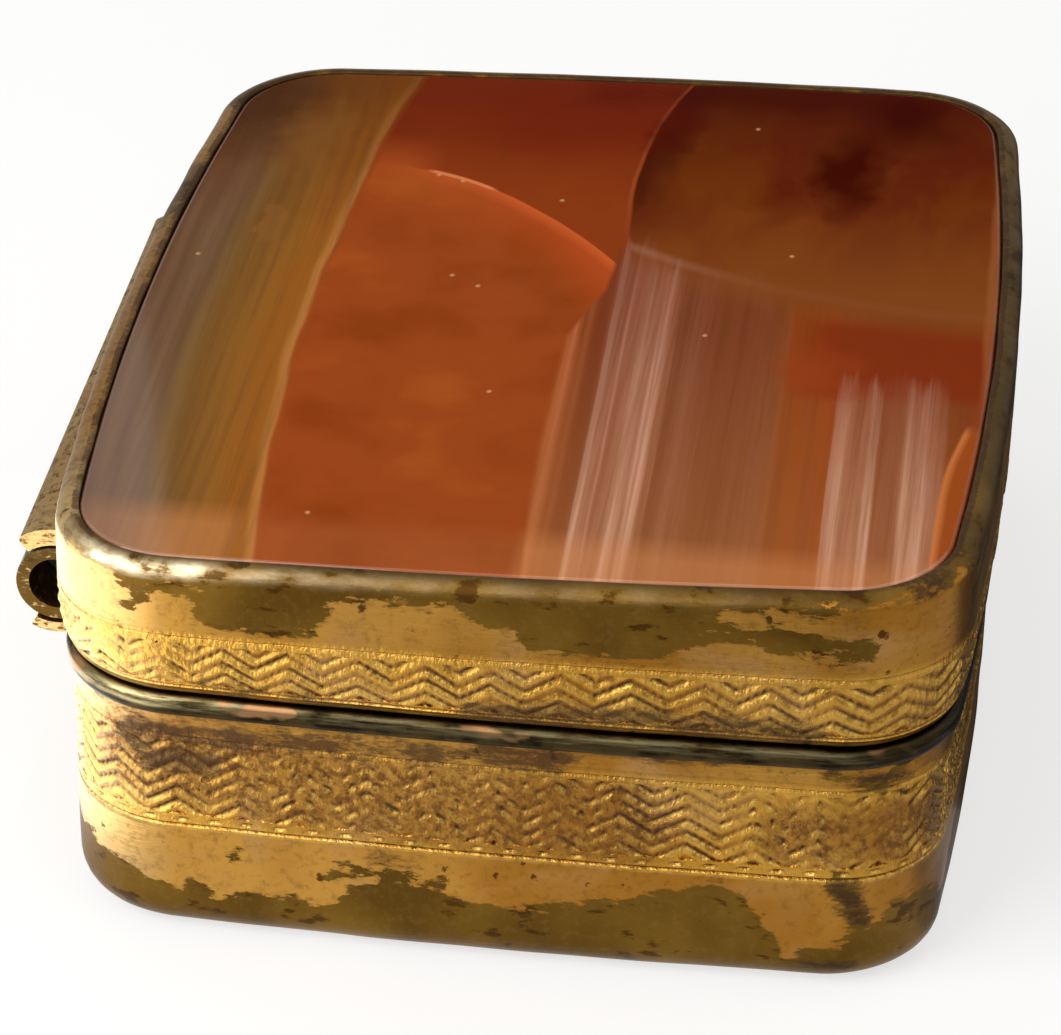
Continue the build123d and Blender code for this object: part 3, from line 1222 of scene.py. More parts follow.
    def lay_heart(self, add: Add, below: Any, x: Any, y: Any, clouds: Any) -> Node:
        """Lay the orange heart, brightest under the shelly edge, and the red-brown stone behind that edge.

        Args:
            add: adds a node to the material.
            below: node with the colour below.
            x: place across the stone.
            y: place from front to back.
            clouds: soft noise.

        Returns:
            The node with the new colour.
        """
        dark = add("MapRange", clouds, 0.52, 0.68, 0.0, 0.8)
        light = add("MapRange", clouds, 0.46, 0.32, 0.0, 0.7)
        heart = add("Mix", dark, self.heart, self.heart_dark)
        heart = add("Mix", light, heart, self.heart_light)
        behind = self.shell_edge.past(add, y, x)
        near = add("MapRange", behind, -6.5, -0.5)
        right = add("MapRange", x, -10.0, 0.5, 0.15, 0.95)
        near = add("Math", near, right, operation="MULTIPLY")
        heart = add("Mix", near, heart, self.bright)
        lip = add("MapRange", behind, -1.3, -0.05)
        right = add("MapRange", x, -8.4, -4.0, 0.3, 0.75)
        lip = add("Math", lip, right, operation="MULTIPLY")
        heart = add("Mix", lip, heart, self.glow)
        shaded = add("Math", clouds, 9.0, y, operation="MULTIPLY_ADD")
        shaded = add("MapRange", shaded, 15.0, 26.0)
        back = add("Mix", shaded, self.behind_shell, self.far)
        sharp = add("MapRange", behind, -0.06, 0.08)
        soft = add("MapRange", y, 12.4, 18.0)
        left = add("MapRange", x, -10.2, -8.0)
        mask = add("Mix", left, soft, sharp, data_type="FLOAT")
        heart = add("Mix", mask, heart, back)
        chipped = strip_mask(add, x, -8.4, -5.4, 0.5)
        chipped = add("Math", chipped, strip_mask(add, behind, -0.12, 0.08, 0.12), operation="MULTIPLY")
        heart = add("Mix", chipped, heart, self.chip)
        inside = self.heart_edge.past(add, x, y)
        return add("Mix", add("MapRange", inside, -0.05, 0.35), below, heart)

    def lay_back(self, add: Add, below: Any, x: Any, y: Any, wisps: Any) -> Node:
        """Lay the dark, wispy stone behind on the right, inside the dark arc and over the slanting band.

        Args:
            add: adds a node to the material.
            below: node with the colour below.
            x: place across the stone.
            y: place from front to back.
            wisps: soft noise, long from front to back.

        Returns:
            The node with the new colour.
        """
        lit = add("MapRange", wisps, 0.42, 0.66)
        stone = add("Mix", lit, self.back_dark, self.back_light)
        rise = add("Math", wisps, 10.0, y, operation="MULTIPLY_ADD")
        rise = add("MapRange", rise, 17.0, 29.0, 0.0, 0.75)
        stone = add("Mix", rise, stone, self.night)
        near = add("MapRange", y, 12.0, 2.5, 0.0, 0.85)
        stone = add("Mix", near, stone, self.ochre)
        past = self.dark_arc.past(add, x, y)
        shade = add("MapRange", past, 2.4, 0.0, 0.0, 0.75)
        deep = add("MapRange", y, 7.0, 13.0)
        shade = add("Math", shade, deep, operation="MULTIPLY")
        stone = add("Mix", shade, stone, self.arc_shade)
        above = self.slanting_band.past(add, y, x)
        pale = strip_mask(add, above, 0.0, 0.25, 0.5, 0.5)
        pale = add("Math", pale, add("MapRange", x, 9.0, 4.0, 0.15, 1.0), operation="MULTIPLY")
        stone = add("Mix", pale, stone, self.slant_pale)
        over = add("MapRange", above, -2.6, -0.2)
        inside = add("MapRange", past, -0.04, 0.1)
        mask = add("Math", over, inside, operation="MULTIPLY")
        rim = strip_mask(add, past, -0.16, -0.06, 0.1, 0.5)
        below = add("Mix", add("Math", rim, deep, operation="MULTIPLY"), below, self.arc_rim)
        return add("Mix", mask, below, stone)

    def lay_strips(self, add: Add, below: Any, x: Any, y: Any, lines: Any) -> Node:
        """Lay the mauve, orange and red-brown strips at the front on the right.

        Args:
            add: adds a node to the material.
            below: node with the colour below.
            x: place across the stone.
            y: place from front to back.
            lines: fine noise, drawn out from front to back.

        Returns:
            The node with the new colour.
        """
        leaned = add("Math", y, self.lean, x, operation="MULTIPLY_ADD")
        base = self.strips.build(add, leaned)
        fine = add("MapRange", lines, 0.42, 0.62, 0.0, 0.3)
        base = add("Mix", fine, base, self.strip_line)
        light = add("MapRange", y, -2.0, -24.0, 0.0, 0.32)
        strips = add("Mix", light, base, self.strip_front)
        red = strip_mask(add, x, 12.8, 20.4, 1.8)
        red = add("Math", red, strip_mask(add, y, -7.2, -1.0, 1.2, 0.9), operation="MULTIPLY")
        strips = add("Mix", red, strips, self.strip_red)
        front = add("MapRange", y, 7.6, 4.5)
        inside = self.strips_edge.past(add, x, y)
        cornered = add("MapRange", y, -3.2, 1.8, 0.0, 1.15)
        inside = add("Math", inside, cornered, operation="SUBTRACT")
        mask = add("Math", front, add("MapRange", inside, -0.1, 0.15), operation="MULTIPLY")
        return add("Mix", mask, below, strips)

    def lay_milk(self, add: Add, below: Any, x: Any, y: Any, lines: Any) -> Node:
        """Lay the milky lines over the strips, each starting at its own height.

        Args:
            add: adds a node to the material.
            below: node with the colour below.
            x: place across the stone.
            y: place from front to back.
            lines: fine noise, drawn out from front to back.

        Returns:
            The node with the new colour.
        """
        leaned = add("Math", y, self.lean, x, operation="MULTIPLY_ADD")
        inner, outer = self.inner_milk.build(add, leaned), self.outer_milk.build(add, leaned)
        share = add("Math", inner, outer, operation="MAXIMUM")
        broken = add("MapRange", lines, 0.38, 0.6, 1.0, 0.45)
        milky = add("Math", share, broken, operation="MULTIPLY")
        torn = add("Math", lines, 6.0, y, operation="MULTIPLY_ADD")
        start = add("MapRange", x, 2.6, 4.6, 10.6, 8.2)
        right = add("MapRange", x, 8.0, 12.0, 10.6, -2.6)
        start = add("Math", start, right, operation="MINIMUM")
        depth = add("Math", start, torn, operation="SUBTRACT")
        grown = add("MapRange", depth, 0.0, 1.6, 0.0, 0.55)
        ripe = add("MapRange", depth, 2.0, 11.0, 0.0, 0.42)
        grown = add("Math", grown, ripe, operation="ADD")
        milky = add("Math", milky, grown, operation="MULTIPLY")
        milk = add("MapRange", y, 4.0, -22.0)
        milk = add("Mix", milk, self.milk, self.milk_front)
        return add("Mix", milky, below, milk)

    def lay_ember(self, add: Add, below: Any, x: Any, y: Any) -> Node:
        """Lay the sharp orange wedge at the right edge, and the light line along that edge.

        Args:
            add: adds a node to the material.
            below: node with the colour below.
            x: place across the stone.
            y: place from front to back.

        Returns:
            The node with the new colour.
        """
        past = self.wedge.past(add, x, y)
        mask = add("MapRange", past, -0.05, 0.12)
        mask = add("Math", mask, add("MapRange", y, -9.9, -10.8), operation="MULTIPLY")
        rim = add("MapRange", past, 0.45, 0.1)
        ember = add("Mix", rim, self.ember, self.ember_edge)
        below = add("Mix", mask, below, ember)
        past = self.right_line.past(add, x, y)
        light = strip_mask(add, past, -0.12, 0.05, 0.25, 0.55)
        light = add("Math", light, add("MapRange", y, -9.5, -6.0), operation="MULTIPLY")
        return add("Mix", light, below, self.edge_light)

    def build(self) -> Material:
        """Make the material.

        Returns:
            The material.
        """
        material, add, place = start_material(self.name)
        drift = add("TexNoise", place, named={"Scale": 1 / self.drift_size, "Detail": 2.0})
        drift = add("MapRange", drift, 0.3, 0.7, -0.14, 0.14)
        parts = add("SeparateXYZ", place)
        x = add("Math", parts.outputs[0], drift, operation="ADD")
        straight = add("Math", drift, 0.25, parts.outputs[0], operation="MULTIPLY_ADD")
        y = parts.outputs[1]
        clouds = add("TexNoise", place, named={"Scale": 1 / self.cloud_size, "Detail": 4.0, "Roughness": 0.5})
        lengthwise = add("Mapping", place, named={"Scale": (1.0, 0.4, 1.0)})
        wisps = add(
            "TexNoise", lengthwise, named={"Scale": 1 / self.wisp_size, "Detail": 4.0, "Distortion": 0.4}
        )
        drawn_out = add("Mapping", place, named={"Scale": (1.0, 0.02, 1.0)})
        lines = add(
            "TexNoise", drawn_out, named={"Scale": 1 / self.line_size, "Detail": 4.0, "Roughness": 0.7}
        )
        leaned = self.left_bend.past(add, x, y)
        colour = self.left.build(add, leaned)
        fine = add("MapRange", lines, 0.45, 0.62, 0.0, 0.3)
        colour = add("Mix", fine, colour, self.left_line)
        rusty = add("Math", wisps, 16.0, y, operation="MULTIPLY_ADD")
        rusty = add("MapRange", rusty, 14.0, 30.0, 0.0, 0.75)
        colour = add("Mix", rusty, colour, self.left_rust)
        colour = self.lay_heart(add, colour, x, y, clouds)
        colour = self.lay_strips(add, colour, straight, y, lines)
        colour = self.lay_back(add, colour, x, y, wisps)
        colour = self.lay_milk(add, colour, straight, y, lines)
        colour = self.lay_ember(add, colour, x, y)
        swirl = add("TexNoise", place, named={"Scale": 1 / self.swirl_size, "Detail": 3.0})
        swirl = add("VectorMath", swirl.outputs["Color"], (0.5, 0.5, 0.5), operation="SUBTRACT")
        reach = (self.swirl_reach, self.swirl_reach, 0.0)
        cloudy = add("VectorMath", swirl, reach, place, operation="MULTIPLY_ADD")
        for stain in self.stains:
            colour = stain.lay(add, cloudy, colour)
        for speck_x, speck_y in self.specks:
            speck = Stain(speck_x, speck_y, *self.speck_size, self.speck_colour, 0.8)
            colour = speck.lay(add, place, colour)
        # Painted reflection: the stone is lightened along its front edge, by a share that changes across it
        front_reflection = add("Math", x, 0.06, y, operation="MULTIPLY_ADD")
        front_reflection = add("MapRange", front_reflection, -20.8, -22.8)
        front_reflection = add("Math", front_reflection, self.front_reflection_share.build(add, x), operation="MULTIPLY")
        colour = add("Mix", front_reflection, colour, self.painted_front_reflection)
        skin = {"Base Color": colour, "Roughness": self.roughness, "IOR": 1.54}
        add("OutputMaterial", add("BsdfPrincipled", named=skin))
        return material


@dataclass
class Finishes:
    """Every finish of the box, made once."""

    # Fire-gilt brass, worn: satin gold, broken by olive brass and brown tarnish
    wall: Material = field(default_factory=WornGilding("worn_fire_gilt_brass").build)
    # Fire-gilt brass out of hands' reach: even satin gold
    lining: Material = field(default_factory=WornGilding("satin_gilt_brass", Wear.NONE).build)
    # Fire-gilt brass, pitted: pale, dull gold with brown pits
    hinge: Material = field(
        default_factory=WornGilding(
            "pitted_gilt_brass", Wear.LIGHT, "#BC965A", "#9A743C", flake=0.5, scratch=0.22
        ).build
    )
    # Brass with little gilding left: dark and brownish
    knuckle: Material = field(
        default_factory=WornGilding(
            "tarnished_gilt_brass", Wear.HEAVY, "#8A6A36", brass="#4C3A1E", flake=0.5
        ).build
    )
    # Tarnished brass: dark, with a silvery painted highlight along its rubbed crest and painted shade at its
    # right end
    bead: Material = field(default_factory=RubbedBead().build)
    # Drawn steel: grey with a brownish film
    pin: Material = field(default_factory=PlainMetal("drawn_steel", "#8C8A86", "#6E665C", 0.4).build)
    # Resin cement: dark and matte
    cement: Material = field(default_factory=Cement().build)
    # Polished agate: a glassy gloss over bands that lie within the stone, and a painted reflection along its
    # front edge
    agate: Material = field(default_factory=BandedAgate().build)


def dress_nodes(frame: dict, finishes: dict[str, Material]) -> None:
    """Give CAD pieces their finishes.

    Args:
        frame: the loaded frame.
        finishes: the finish of each piece by its name.
    """
    for name, finish in finishes.items():
        frame["nodes"][name].material_slots[0].material = finish
        log.info("%s dressed", name)


@dataclass
class Hinge:
    """The hinge on the left side: a barrel of five knuckles in two troughs, with a pin and a cover strip."""

    frame: dict
    finishes: Finishes
    recess_vertices: int = 160

    def dress(self) -> None:
        """Give the hinge's CAD pieces their finishes."""
        chosen = {"hinge_cover_strip": self.finishes.hinge, "hinge_pin": self.finishes.pin}
        chosen |= {name: self.finishes.knuckle for name in self.frame["nodes"] if "knuckle" in name}
        chosen |= {name: self.finishes.hinge for name in self.frame["nodes"] if "trough" in name}
        dress_nodes(self.frame, chosen)

    def cut_recess(self, wall: Piece) -> None:
        """Cut the round recess that the troughs lie in out of a wall.

        Args:
            wall: the wall, as a closed mesh.
        """
        axis = next(j for j in self.frame["joints"] if j["name"] == "lid_hinge")["pos_m"]
        low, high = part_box("base_hinge_trough")
        deselect_everything()
        bpy.ops.mesh.primitive_cylinder_add(
            vertices=self.recess_vertices,
            radius=axis[2] - low.z,
            depth=high.y - low.y,
            location=axis,
            rotation=(math.pi / 2, 0, 0),
        )
        drill = bpy.context.object
        select_only(wall)
        cut = wall.modifiers.new("recess", "BOOLEAN")
        cut.operation = "DIFFERENCE"
        cut.solver = "MANIFOLD"
        cut.object = drill
        bpy.ops.object.modifier_apply(modifier=cut.name)
        bpy.data.objects.remove(drill)


@dataclass
class Base:
    """The lower half: an engraved tub with its mouth bead and its collar, in millimetres."""

    frame: dict
    finishes: Finishes
    hinge: Hinge
    plan: Plan = Plan()
    height: float = 11.9
    wall: float = 0.7
    floor_thickness: float = 0.9
    foot_radius: float = 1.7
    inner_foot_radius: float = 1.0
    rim_radius: float = 0.08
    rim_soil: float = 0.6
    ring_gap: float = 0.45
    upper_rings: Line = ((11.1, 0.0), (11.4, 0.2), (11.65, 0.5))
    ripples: Ripples = Ripples(21, 0.06)
    band: ChevronBand = ChevronBand(6.0, 10.7, chevrons=60, seed=11, swing=0.9, dashes=True)
    worn: tuple[Patch, ...] = (
        Patch(((-7.2, 4.2), (-2.4, 4.3)), 0.3),
        Patch(((-6.5, 2.8), (-2.8, 2.9)), 0.3),
        Patch(((15.4, 6.0), (16.3, 4.6), (16.6, 3.4)), 0.55),
        Patch(((18.6, 4.1), (18.3, 2.1)), 0.4),
        Patch(((-11.9, 4.6),), 0.3),
        Patch(((14.9, 11.6), (17.1, 10.9), (19.3, 12.2)), 0.25),
    )
    soiled: tuple[Patch, ...] = (
        Patch(((-16.2, 10.8), (-9.0, 11.1), (3.0, 11.4)), 0.75),
        Patch(((-16.9, 10.4), (-15.6, 9.4), (-12.9, 9.6)), 0.8),
        Patch(((-5.6, 5.3), (-3.4, 5.2)), 0.3),
        Patch(((16.2, 11.3), (18.5, 11.2)), 0.5),
        Patch(((14.1, 1.4), (16.3, 1.2)), 0.3),
        Patch(((15.6, 5.6), (16.3, 4.7), (16.6, 3.8)), 0.6),
    )
    rubbed: tuple[Patch, ...] = (Patch(((15.6, 8.2), (18.5, 9.2)), 1.0),)
    pecked: tuple[Patch, ...] = (
        Patch(((-9.0, 8.8), (-3.0, 8.4), (3.5, 8.4)), 2.4),
        Patch(((12.5, 8.5), (19.0, 8.5)), 1.8),
    )
    dulled: tuple[Patch, ...] = (
        Patch(((-16.5, 9.6), (-11.0, 8.9), (-3.0, 8.4), (6.0, 8.3)), 2.4),
        Patch(((13.5, 8.3), (20.0, 8.3)), 1.6),
    )
    foot: Line = (
        (-18.3, 3.6), (-15.3, 2.8), (-14.4, 2.4), (-13.9, 3.1), (-12.7, 2.1), (-11.3, 2.5), (-7.4, 2.5),
        (-5.8, 3.9), (-2.8, 3.7), (-0.5, 3.1), (3.1, 3.5), (4.9, 4.0), (8.9, 5.0), (10.3, 5.4),
        (11.7, 4.2), (12.4, 3.1), (13.4, 1.6),
    )

    def rings(self) -> list[Ring]:
        """List the rings of the tub.

        Returns:
            The rings from the middle of its underside over its rim to its floor.
        """
        rings = arc_rings(-self.foot_radius, self.foot_radius, self.foot_radius, -90, 0, 9)
        plain = np.arange(self.foot_radius + 0.4, self.band.low - 0.15, self.ring_gap)
        rings += [Ring(None, height) for height in plain]
        rings += [Ring(None, level.height, level=level) for level in self.band.levels()]
        # Darker towards the rim, under the bead
        rings += [Ring(None, height, soil=soil) for height, soil in self.upper_rings]
        rim = self.rim_radius
        rings += arc_rings(-rim, self.height - rim, rim, 0, 90, 3, soil=self.rim_soil)
        rings += [Ring(-self.wall, self.height, inside=True)]
        fillet = self.inner_foot_radius
        turn = arc_rings(-self.wall - fillet, self.floor_thickness + fillet, fillet, 0, -90, 6, inside=True)
        return rings + turn

    def build(self) -> None:
        """Build the tub and dress the pieces soldered to it."""
        others = scattered(5, 26, 1.5, 11.0)
        chance = np.random.default_rng(8)
        foot = self.foot + tuple((a, chance.uniform(1.6, 4.6)) for a in np.arange(16.0, 150.0, 3.5))
        wall = EngravedWall(
            "tub_shell",
            self.plan,
            self.band,
            self.rings(),
            self.ripples,
            self.worn + others,
            self.rubbed + scattered(9, 8, 7.0, 10.0),
            self.soiled + scattered(10, 12, 10.5, 11.6),
            self.pecked + scattered(13, 6, 7.5, 9.5),
            self.dulled + scattered(14, 9, 7.0, 10.0),
            foot,
        )
        piece = wall.build()
        self.hinge.cut_recess(piece)
        dress_wall(piece, self.finishes, "base", "base_tub")
        chosen = {"base_mouth_bead": self.finishes.bead, "base_collar": self.finishes.lining}
        dress_nodes(self.frame, chosen)


def dress_wall(piece: Piece, finishes: Finishes, body: str, node: str) -> None:
    """Finish one engraved wall and put it in its CAD node's place.

    Args:
        piece: the wall.
        finishes: the box's finishes.
        body: body that the wall moves with.
        node: CAD node that it stands for.
    """
    piece.data.materials.clear()
    for finish in (finishes.wall, finishes.lining):
        piece.data.materials.append(finish)
    select_only(piece)
    bpy.ops.object.shade_smooth_by_angle(angle=SMOOTH_ANGLE)
    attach(piece, body)
    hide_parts(node)
    log.info("%s: %d points", piece.name, len(piece.data.vertices))


@dataclass
class Lid:
    """The upper half: an engraved frame round the agate, which lies on a seat ring and a bed of cement."""

    frame: dict
    finishes: Finishes
    hinge: Hinge
    plan: Plan = Plan()
    bottom: float = 13.15
    height: float = 7.298
    slant: float = 2.0
    lip_flare: float = 0.05
    swell: float = 0.598
    flare_height: float = 2.3
    shoulder: float = 0.75
    bezel_width: float = 1.0
    bezel_cover: float = 0.25
    ledge_drop: float = 0.45
    mouth_band: float = 1.9
    mouth_grow: float = -0.55
    edge_radius: float = 0.1
    edge_shade: float = 0.9
    ring_gap: float = 0.42
    # How bright each ring of the shoulder's rounding is, from rubbing and from a painted highlight
    shoulder_rub_and_highlight: tuple[float, ...] = (0, 0.3, 0.7, 1, 1, 1, 0.8, 0.5, 0.2)
    # Rings of the lid's lower lip, the lowest ones darker
    lip_rings: tuple[Ring, ...] = (
        Ring(-0.05, 0.0, soil=0.6), Ring(0.03, 0.03, soil=0.6), Ring(None, 0.12, soil=0.5), Ring(None, 0.25),
    )
    ripples: Ripples = Ripples(22, 0.06)
    band: ChevronBand = ChevronBand(0.5, 3.5, chevrons=57, seed=31, swing=0.9)
    worn: tuple[Patch, ...] = (
        Patch(((-11.7, 18.7), (-9.0, 18.7)), 1.6),
        Patch(((-16.2, 18.2), (-15.8, 18.9)), 0.3),
        Patch(((2.3, 18.7), (6.4, 18.8), (8.2, 19.6)), 1.6),
        Patch(((9.5, 18.9), (12.4, 18.4), (15.9, 18.0)), 0.5),
        Patch(((19.0, 20.6), (20.3, 20.6)), 0.4),
    )
    pecked: tuple[Patch, ...] = (Patch(((-18.5, 15.2), (-14.0, 15.2)), 1.4),)
    soiled: tuple[Patch, ...] = (
        Patch(((-13.0, 13.8), (-8.0, 13.7)), 0.35),
        Patch(((-1.0, 13.8), (6.0, 14.1), (14.0, 13.9)), 0.8),
        Patch(((18.4, 20.2), (20.0, 20.4)), 0.4),
    )
    crown: Line = (
        (-46.0, 21.6), (-23.0, 21.6), (-20.0, 20.1), (-17.0, 19.8), (-16.4, 19.3), (-15.8, 19.1),
        (-15.0, 19.5), (-13.0, 19.3), (-8.9, 18.9), (-7.9, 19.3), (-4.0, 19.5), (-2.0, 19.3), (-0.8, 18.8),
        (0.0, 18.4), (8.4, 18.8), (9.8, 19.7), (13.0, 19.9), (15.6, 19.9), (17.8, 20.4), (21.0, 20.2),
    )
    dulled: tuple[Patch, ...] = (
        Patch(((-70.0, 20.3), (-24.0, 20.3)), 0.35),
        Patch(((108.0, 20.3), (140.0, 20.3)), 0.35),
    )
    # How bright the shoulder is along the plan, from rubbing, with a painted highlight near the front-left
    # corner
    polish_and_highlight: Line = (
        (-46.0, 0.05), (-21.0, 0.3), (-18.8, 1.0), (-13.6, 1.2), (-11.8, 0.28), (-5.0, 0.1), (5.0, 0.08),
        (14.0, 0.02), (60.0, 0.12), (100.0, 0.1),
    )

    def rings(self) -> list[Ring]:
        """List the rings of the frame.

        Returns:
            The rings from its mouth's outer edge over the bezel and down its inside.
        """
        edge = self.swell - self.bezel_width
        upright = self.height - self.shoulder
        ledge = self.height - self.ledge_drop
        low, high = self.band.low, self.band.high
        rings = list(self.lip_rings)
        for level in self.band.levels():
            share = 0.5 * (level.height - low) / (high - low)
            rings.append(Ring(None, level.height, float(np.clip(share, 0, 0.5)), level))
        for height in np.arange(high + 0.35, upright - 0.1, self.ring_gap):
            rings.append(Ring(None, height, 0.5 + 0.5 * (height - high) / (upright - high)))
        turn = arc_rings(self.swell - self.shoulder, upright, self.shoulder, 0, 90, 9, slant=1.0)
        turn = [replace(ring, rub_and_highlight=rub_and_highlight) for ring, rub_and_highlight in zip(turn, self.shoulder_rub_and_highlight)]
        # Painted shade along the stone's edge, on the bezel's top and inner side, away from the front
        rings += turn[:-1] + [replace(turn[-1], shade=self.edge_shade)]
        middle, radius = edge + self.edge_radius, self.edge_radius
        rings += arc_rings(middle, self.height - radius, radius, 90, 180, 4, slant=1.0, shade=1.0)
        rings += [
            Ring(edge, ledge, 1.0, inside=True, shade=1.0),
            Ring(edge + self.bezel_cover, ledge, 1.0, inside=True),
            Ring(edge + self.bezel_cover, self.mouth_band, inside=True),
            Ring(self.mouth_grow, self.mouth_band, inside=True),
            Ring(self.mouth_grow, 0.0, inside=True),
        ]
        return rings

    def build(self) -> None:
        """Build the frame and dress the stone and what it lies on."""
        others = scattered(6, 24, 16.5, 20.0)
        chance = np.random.default_rng(7)
        unseen = tuple((a, chance.uniform(18.6, 19.8)) for a in np.arange(24.0, 105.0, 4.0))
        wall = EngravedWall(
            "lid_shell",
            self.plan,
            self.band,
            self.rings(),
            self.ripples,
            self.worn + others,
            soiled=self.soiled + scattered(12, 10, 13.4, 14.0),
            pecked=self.pecked,
            crown=self.crown + unseen + ((112.0, 21.6),),
            dulled=self.dulled,
            polish_and_highlight=self.polish_and_highlight,
            bottom=self.bottom,
            slope=math.tan(math.radians(self.slant)),
            swell=self.swell,
            flare=self.swell - self.lip_flare,
            flare_height=self.flare_height,
            closed=True,
        )
        piece = wall.build()
        self.hinge.cut_recess(piece)
        dress_wall(piece, self.finishes, "lid", "lid_frame")
        chosen = {
            "agate_plaque": self.finishes.agate,
            "stone_bedding": self.finishes.cement,
            "stone_seat_ring": self.finishes.lining,
        }
        dress_nodes(self.frame, chosen)


@dataclass(frozen=True)
class Card:
    """Flat card that only gloss sees, in millimetres, and how bright it is at its left and its right end."""

    name: str
    middle: tuple[float, float, float]
    size: tuple[float, float]
    turn: tuple[float, float, float] = (0.0, 0.0, 0.0)
    left: float = 0.0
    right: float = 0.0

    def build(self) -> None:
        """Stand the card in the studio."""
        deselect_everything()
        bpy.ops.mesh.primitive_plane_add(size=1.0)
        card = bpy.context.object
        card.name = self.name
        card.scale = (self.size[0] * MM, self.size[1] * MM, 1.0)
        card.rotation_euler = [math.radians(angle) for angle in self.turn]
        card.location = [place * MM for place in self.middle]
        bpy.ops.object.transform_apply(location=True, rotation=True, scale=True)
        material, add, place = start_material(self.name)
        across = add("SeparateXYZ", place).outputs[0]
        half = self.size[0] / 2
        glow = add("MapRange", across, self.middle[0] - half, self.middle[0] + half, self.left, self.right)
        add("OutputMaterial", add("Emission", WHITE, glow))
        card.data.materials.append(material)
        for kind in ("camera", "diffuse", "shadow", "transmission", "volume_scatter"):
            setattr(card, "visible_" + kind, False)


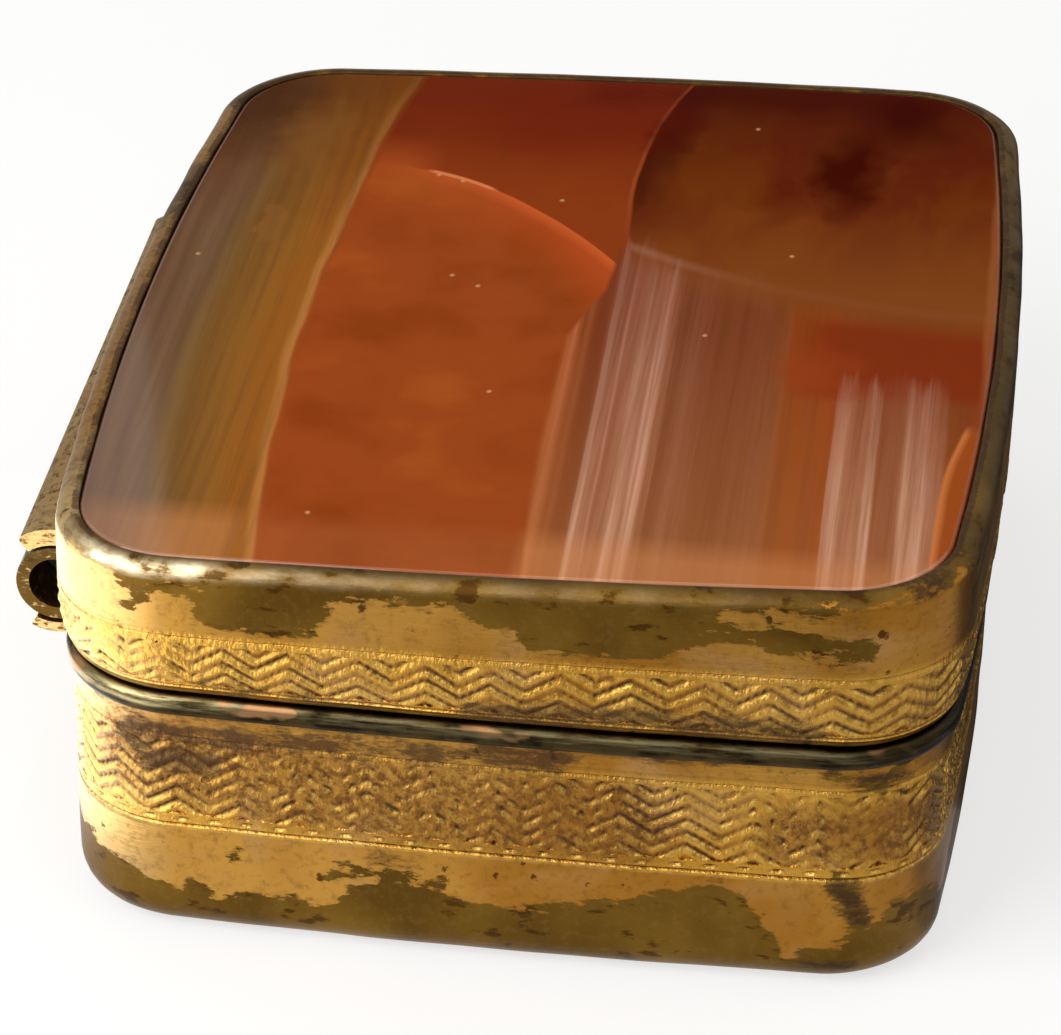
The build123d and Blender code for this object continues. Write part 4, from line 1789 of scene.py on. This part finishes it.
@dataclass
class Studio:
    """White floor, soft light from the left front, cards that only gloss sees, and the camera.

    Places are in millimetres, and angles in radians.
    """

    target: tuple[float, float, float] = (-1.6217, 0.0, 8.4164)
    azimuth: float = 0.1168
    elevation: float = 0.5360
    roll: float = 0.0201
    distance: float = 234.94
    focal_pixels: float = 4765.66
    key_power: float = 0.58
    key_size: float = 200.0
    key_place: tuple[float, float, float] = (-160.0, -160.0, 150.0)
    ambient: float = 0.72
    floor_size: float = 6000.0
    floor_colour: str = "#FAF9F7"
    lift: float = 0.65
    cards: tuple[Card, ...] = (
        Card("near_table_glow", (7.0, -36.0, 0.05), (62.0, 28.0), left=1.15, right=0.7),
        Card("far_table_glow", (1.0, -109.0, 0.05), (74.0, 118.0), left=0.8, right=0.3),
        Card("left_table_glow", (-97.0, -18.0, 0.05), (146.0, 64.0), left=3.2, right=3.0),
        Card("far_left_table_glow", (-103.0, -109.0, 0.05), (134.0, 118.0), left=2.7, right=2.5),
        Card("back_left_table_shade", (-95.5, 91.0, 0.05), (149.0, 154.0), left=0.5, right=0.5),
        Card("right_corner_glow", (33.0, -16.0, 0.05), (24.0, 12.0), left=0.3, right=0.3),
        Card("right_table_shade", (95.5, 79.0, 0.05), (150.0, 178.0), left=0.04, right=0.1),
        Card("far_right_table_shade", (104.0, -95.0, 0.05), (132.0, 146.0), left=0.8, right=0.0),
        Card("left_sky_glow", (-46.0, -50.0, 80.0), (56.0, 60.0), left=3.6, right=3.2),
        Card("front_sky_glow", (-10.0, -120.0, 78.0), (150.0, 37.0), (90.0, 0.0, 0.0), 2.6, 1.5),
        Card("back_flag", (-18.0, 160.0, 118.0), (86.0, 80.0), (90.0, 0.0, 0.0)),
        Card("back_left_flag", (-160.5, 160.0, 80.0), (199.0, 160.0), (90.0, 0.0, 0.0), 0.5, 0.45),
        Card("back_right_flag", (142.5, 160.0, 80.0), (235.0, 160.0), (90.0, 0.0, 0.0), 0.3, 0.2),
        Card("front_flag", (0.0, -260.0, 70.0), (600.0, 80.0), (90.0, 0.0, 0.0), 0.3, 0.1),
    )

    def build(self) -> None:
        """Build the studio."""
        self.build_floor()
        self.build_world()
        self.build_key()
        self.build_camera()
        for card in self.cards:
            card.build()

    def seen_directly(self, add: Add) -> Node:
        """Work out whether the camera, gloss or glass looks at a place, and not the light on matte surfaces.

        Args:
            add: adds a node to the material or the world.

        Returns:
            The node with one or zero.
        """
        ray = add("LightPath")
        seen = add("Math", ray.outputs["Is Camera Ray"], ray.outputs["Is Glossy Ray"], operation="MAXIMUM")
        return add("Math", seen, ray.outputs["Is Transmission Ray"], operation="MAXIMUM")

    def build_floor(self) -> None:
        """Lay a wide, white floor under the box, lifted towards plain white for the camera and for gloss."""
        deselect_everything()
        bpy.ops.mesh.primitive_plane_add(size=self.floor_size * MM)
        floor = bpy.context.object
        floor.name = "floor"
        # Matte white board: no gleam, and only a soft shadow
        material, add, _ = start_material("matte_white_board")
        skin = {"Base Color": self.floor_colour, "Roughness": 0.9, "Specular IOR Level": 0.1}
        board = add("BsdfPrincipled", named=skin)
        share = add("MapRange", self.seen_directly(add), 0.0, 1.0, 0.0, self.lift)
        white = add("Emission", WHITE, 1.0)
        add("OutputMaterial", add("MixShader", share, board, white))
        floor.data.materials.append(material)

    def build_world(self) -> None:
        """White for the camera and for gloss, and dimmer as light on matte surfaces."""
        world = bpy.data.worlds.new("studio")
        bpy.context.scene.world = world
        world.use_nodes = True
        world.node_tree.nodes.clear()
        add = partial(add_node, world.node_tree)
        strength = add("MapRange", self.seen_directly(add), 0.0, 1.0, self.ambient, 1.0)
        back = add("Background", WHITE, strength)
        add("OutputWorld", back)

    def build_key(self) -> None:
        """Hang one large soft light."""
        light = bpy.data.lights.new("key", "AREA")
        light.shape = "SQUARE"
        light.size = self.key_size * MM
        light.energy = self.key_power
        lamp = bpy.data.objects.new("key", light)
        bpy.context.scene.collection.objects.link(lamp)
        place = Vector(self.key_place) * MM
        towards = Vector(self.target) * MM - place
        lamp.matrix_world = Matrix.Translation(place) @ towards.to_track_quat("-Z", "Y").to_matrix().to_4x4()

    def build_camera(self) -> None:
        """Place the camera at the picture's angle."""
        data = bpy.data.cameras.new("camera")
        data.sensor_width = SENSOR_WIDTH
        data.lens = self.focal_pixels * SENSOR_WIDTH / PHOTO_WIDTH
        data.clip_start = 0.01
        camera = bpy.data.objects.new("camera", data)
        bpy.context.scene.collection.objects.link(camera)
        flat, rise = math.cos(self.elevation), math.sin(self.elevation)
        back = Vector((math.sin(self.azimuth) * flat, -math.cos(self.azimuth) * flat, rise))
        right = (-back).cross(Vector((0, 0, 1))).normalized()
        up = right.cross(-back)
        turn = Matrix((right, up, back)).transposed() @ Matrix.Rotation(self.roll, 3, "Z")
        place = (Vector(self.target) + back * self.distance) * MM
        camera.matrix_world = Matrix.Translation(place) @ turn.to_4x4()
        bpy.context.scene.camera = camera


def main() -> None:
    """Build the box and its studio in order."""
    logging.basicConfig(level=logging.INFO, format="%(name)s: %(message)s")
    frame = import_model()
    bpy.context.scene.view_settings.view_transform = "Standard"
    finishes = Finishes()
    hinge = Hinge(frame, finishes)
    hinge.dress()
    Base(frame, finishes, hinge).build()
    Lid(frame, finishes, hinge).build()
    Studio().build()


if __name__ == "__main__":
    main()
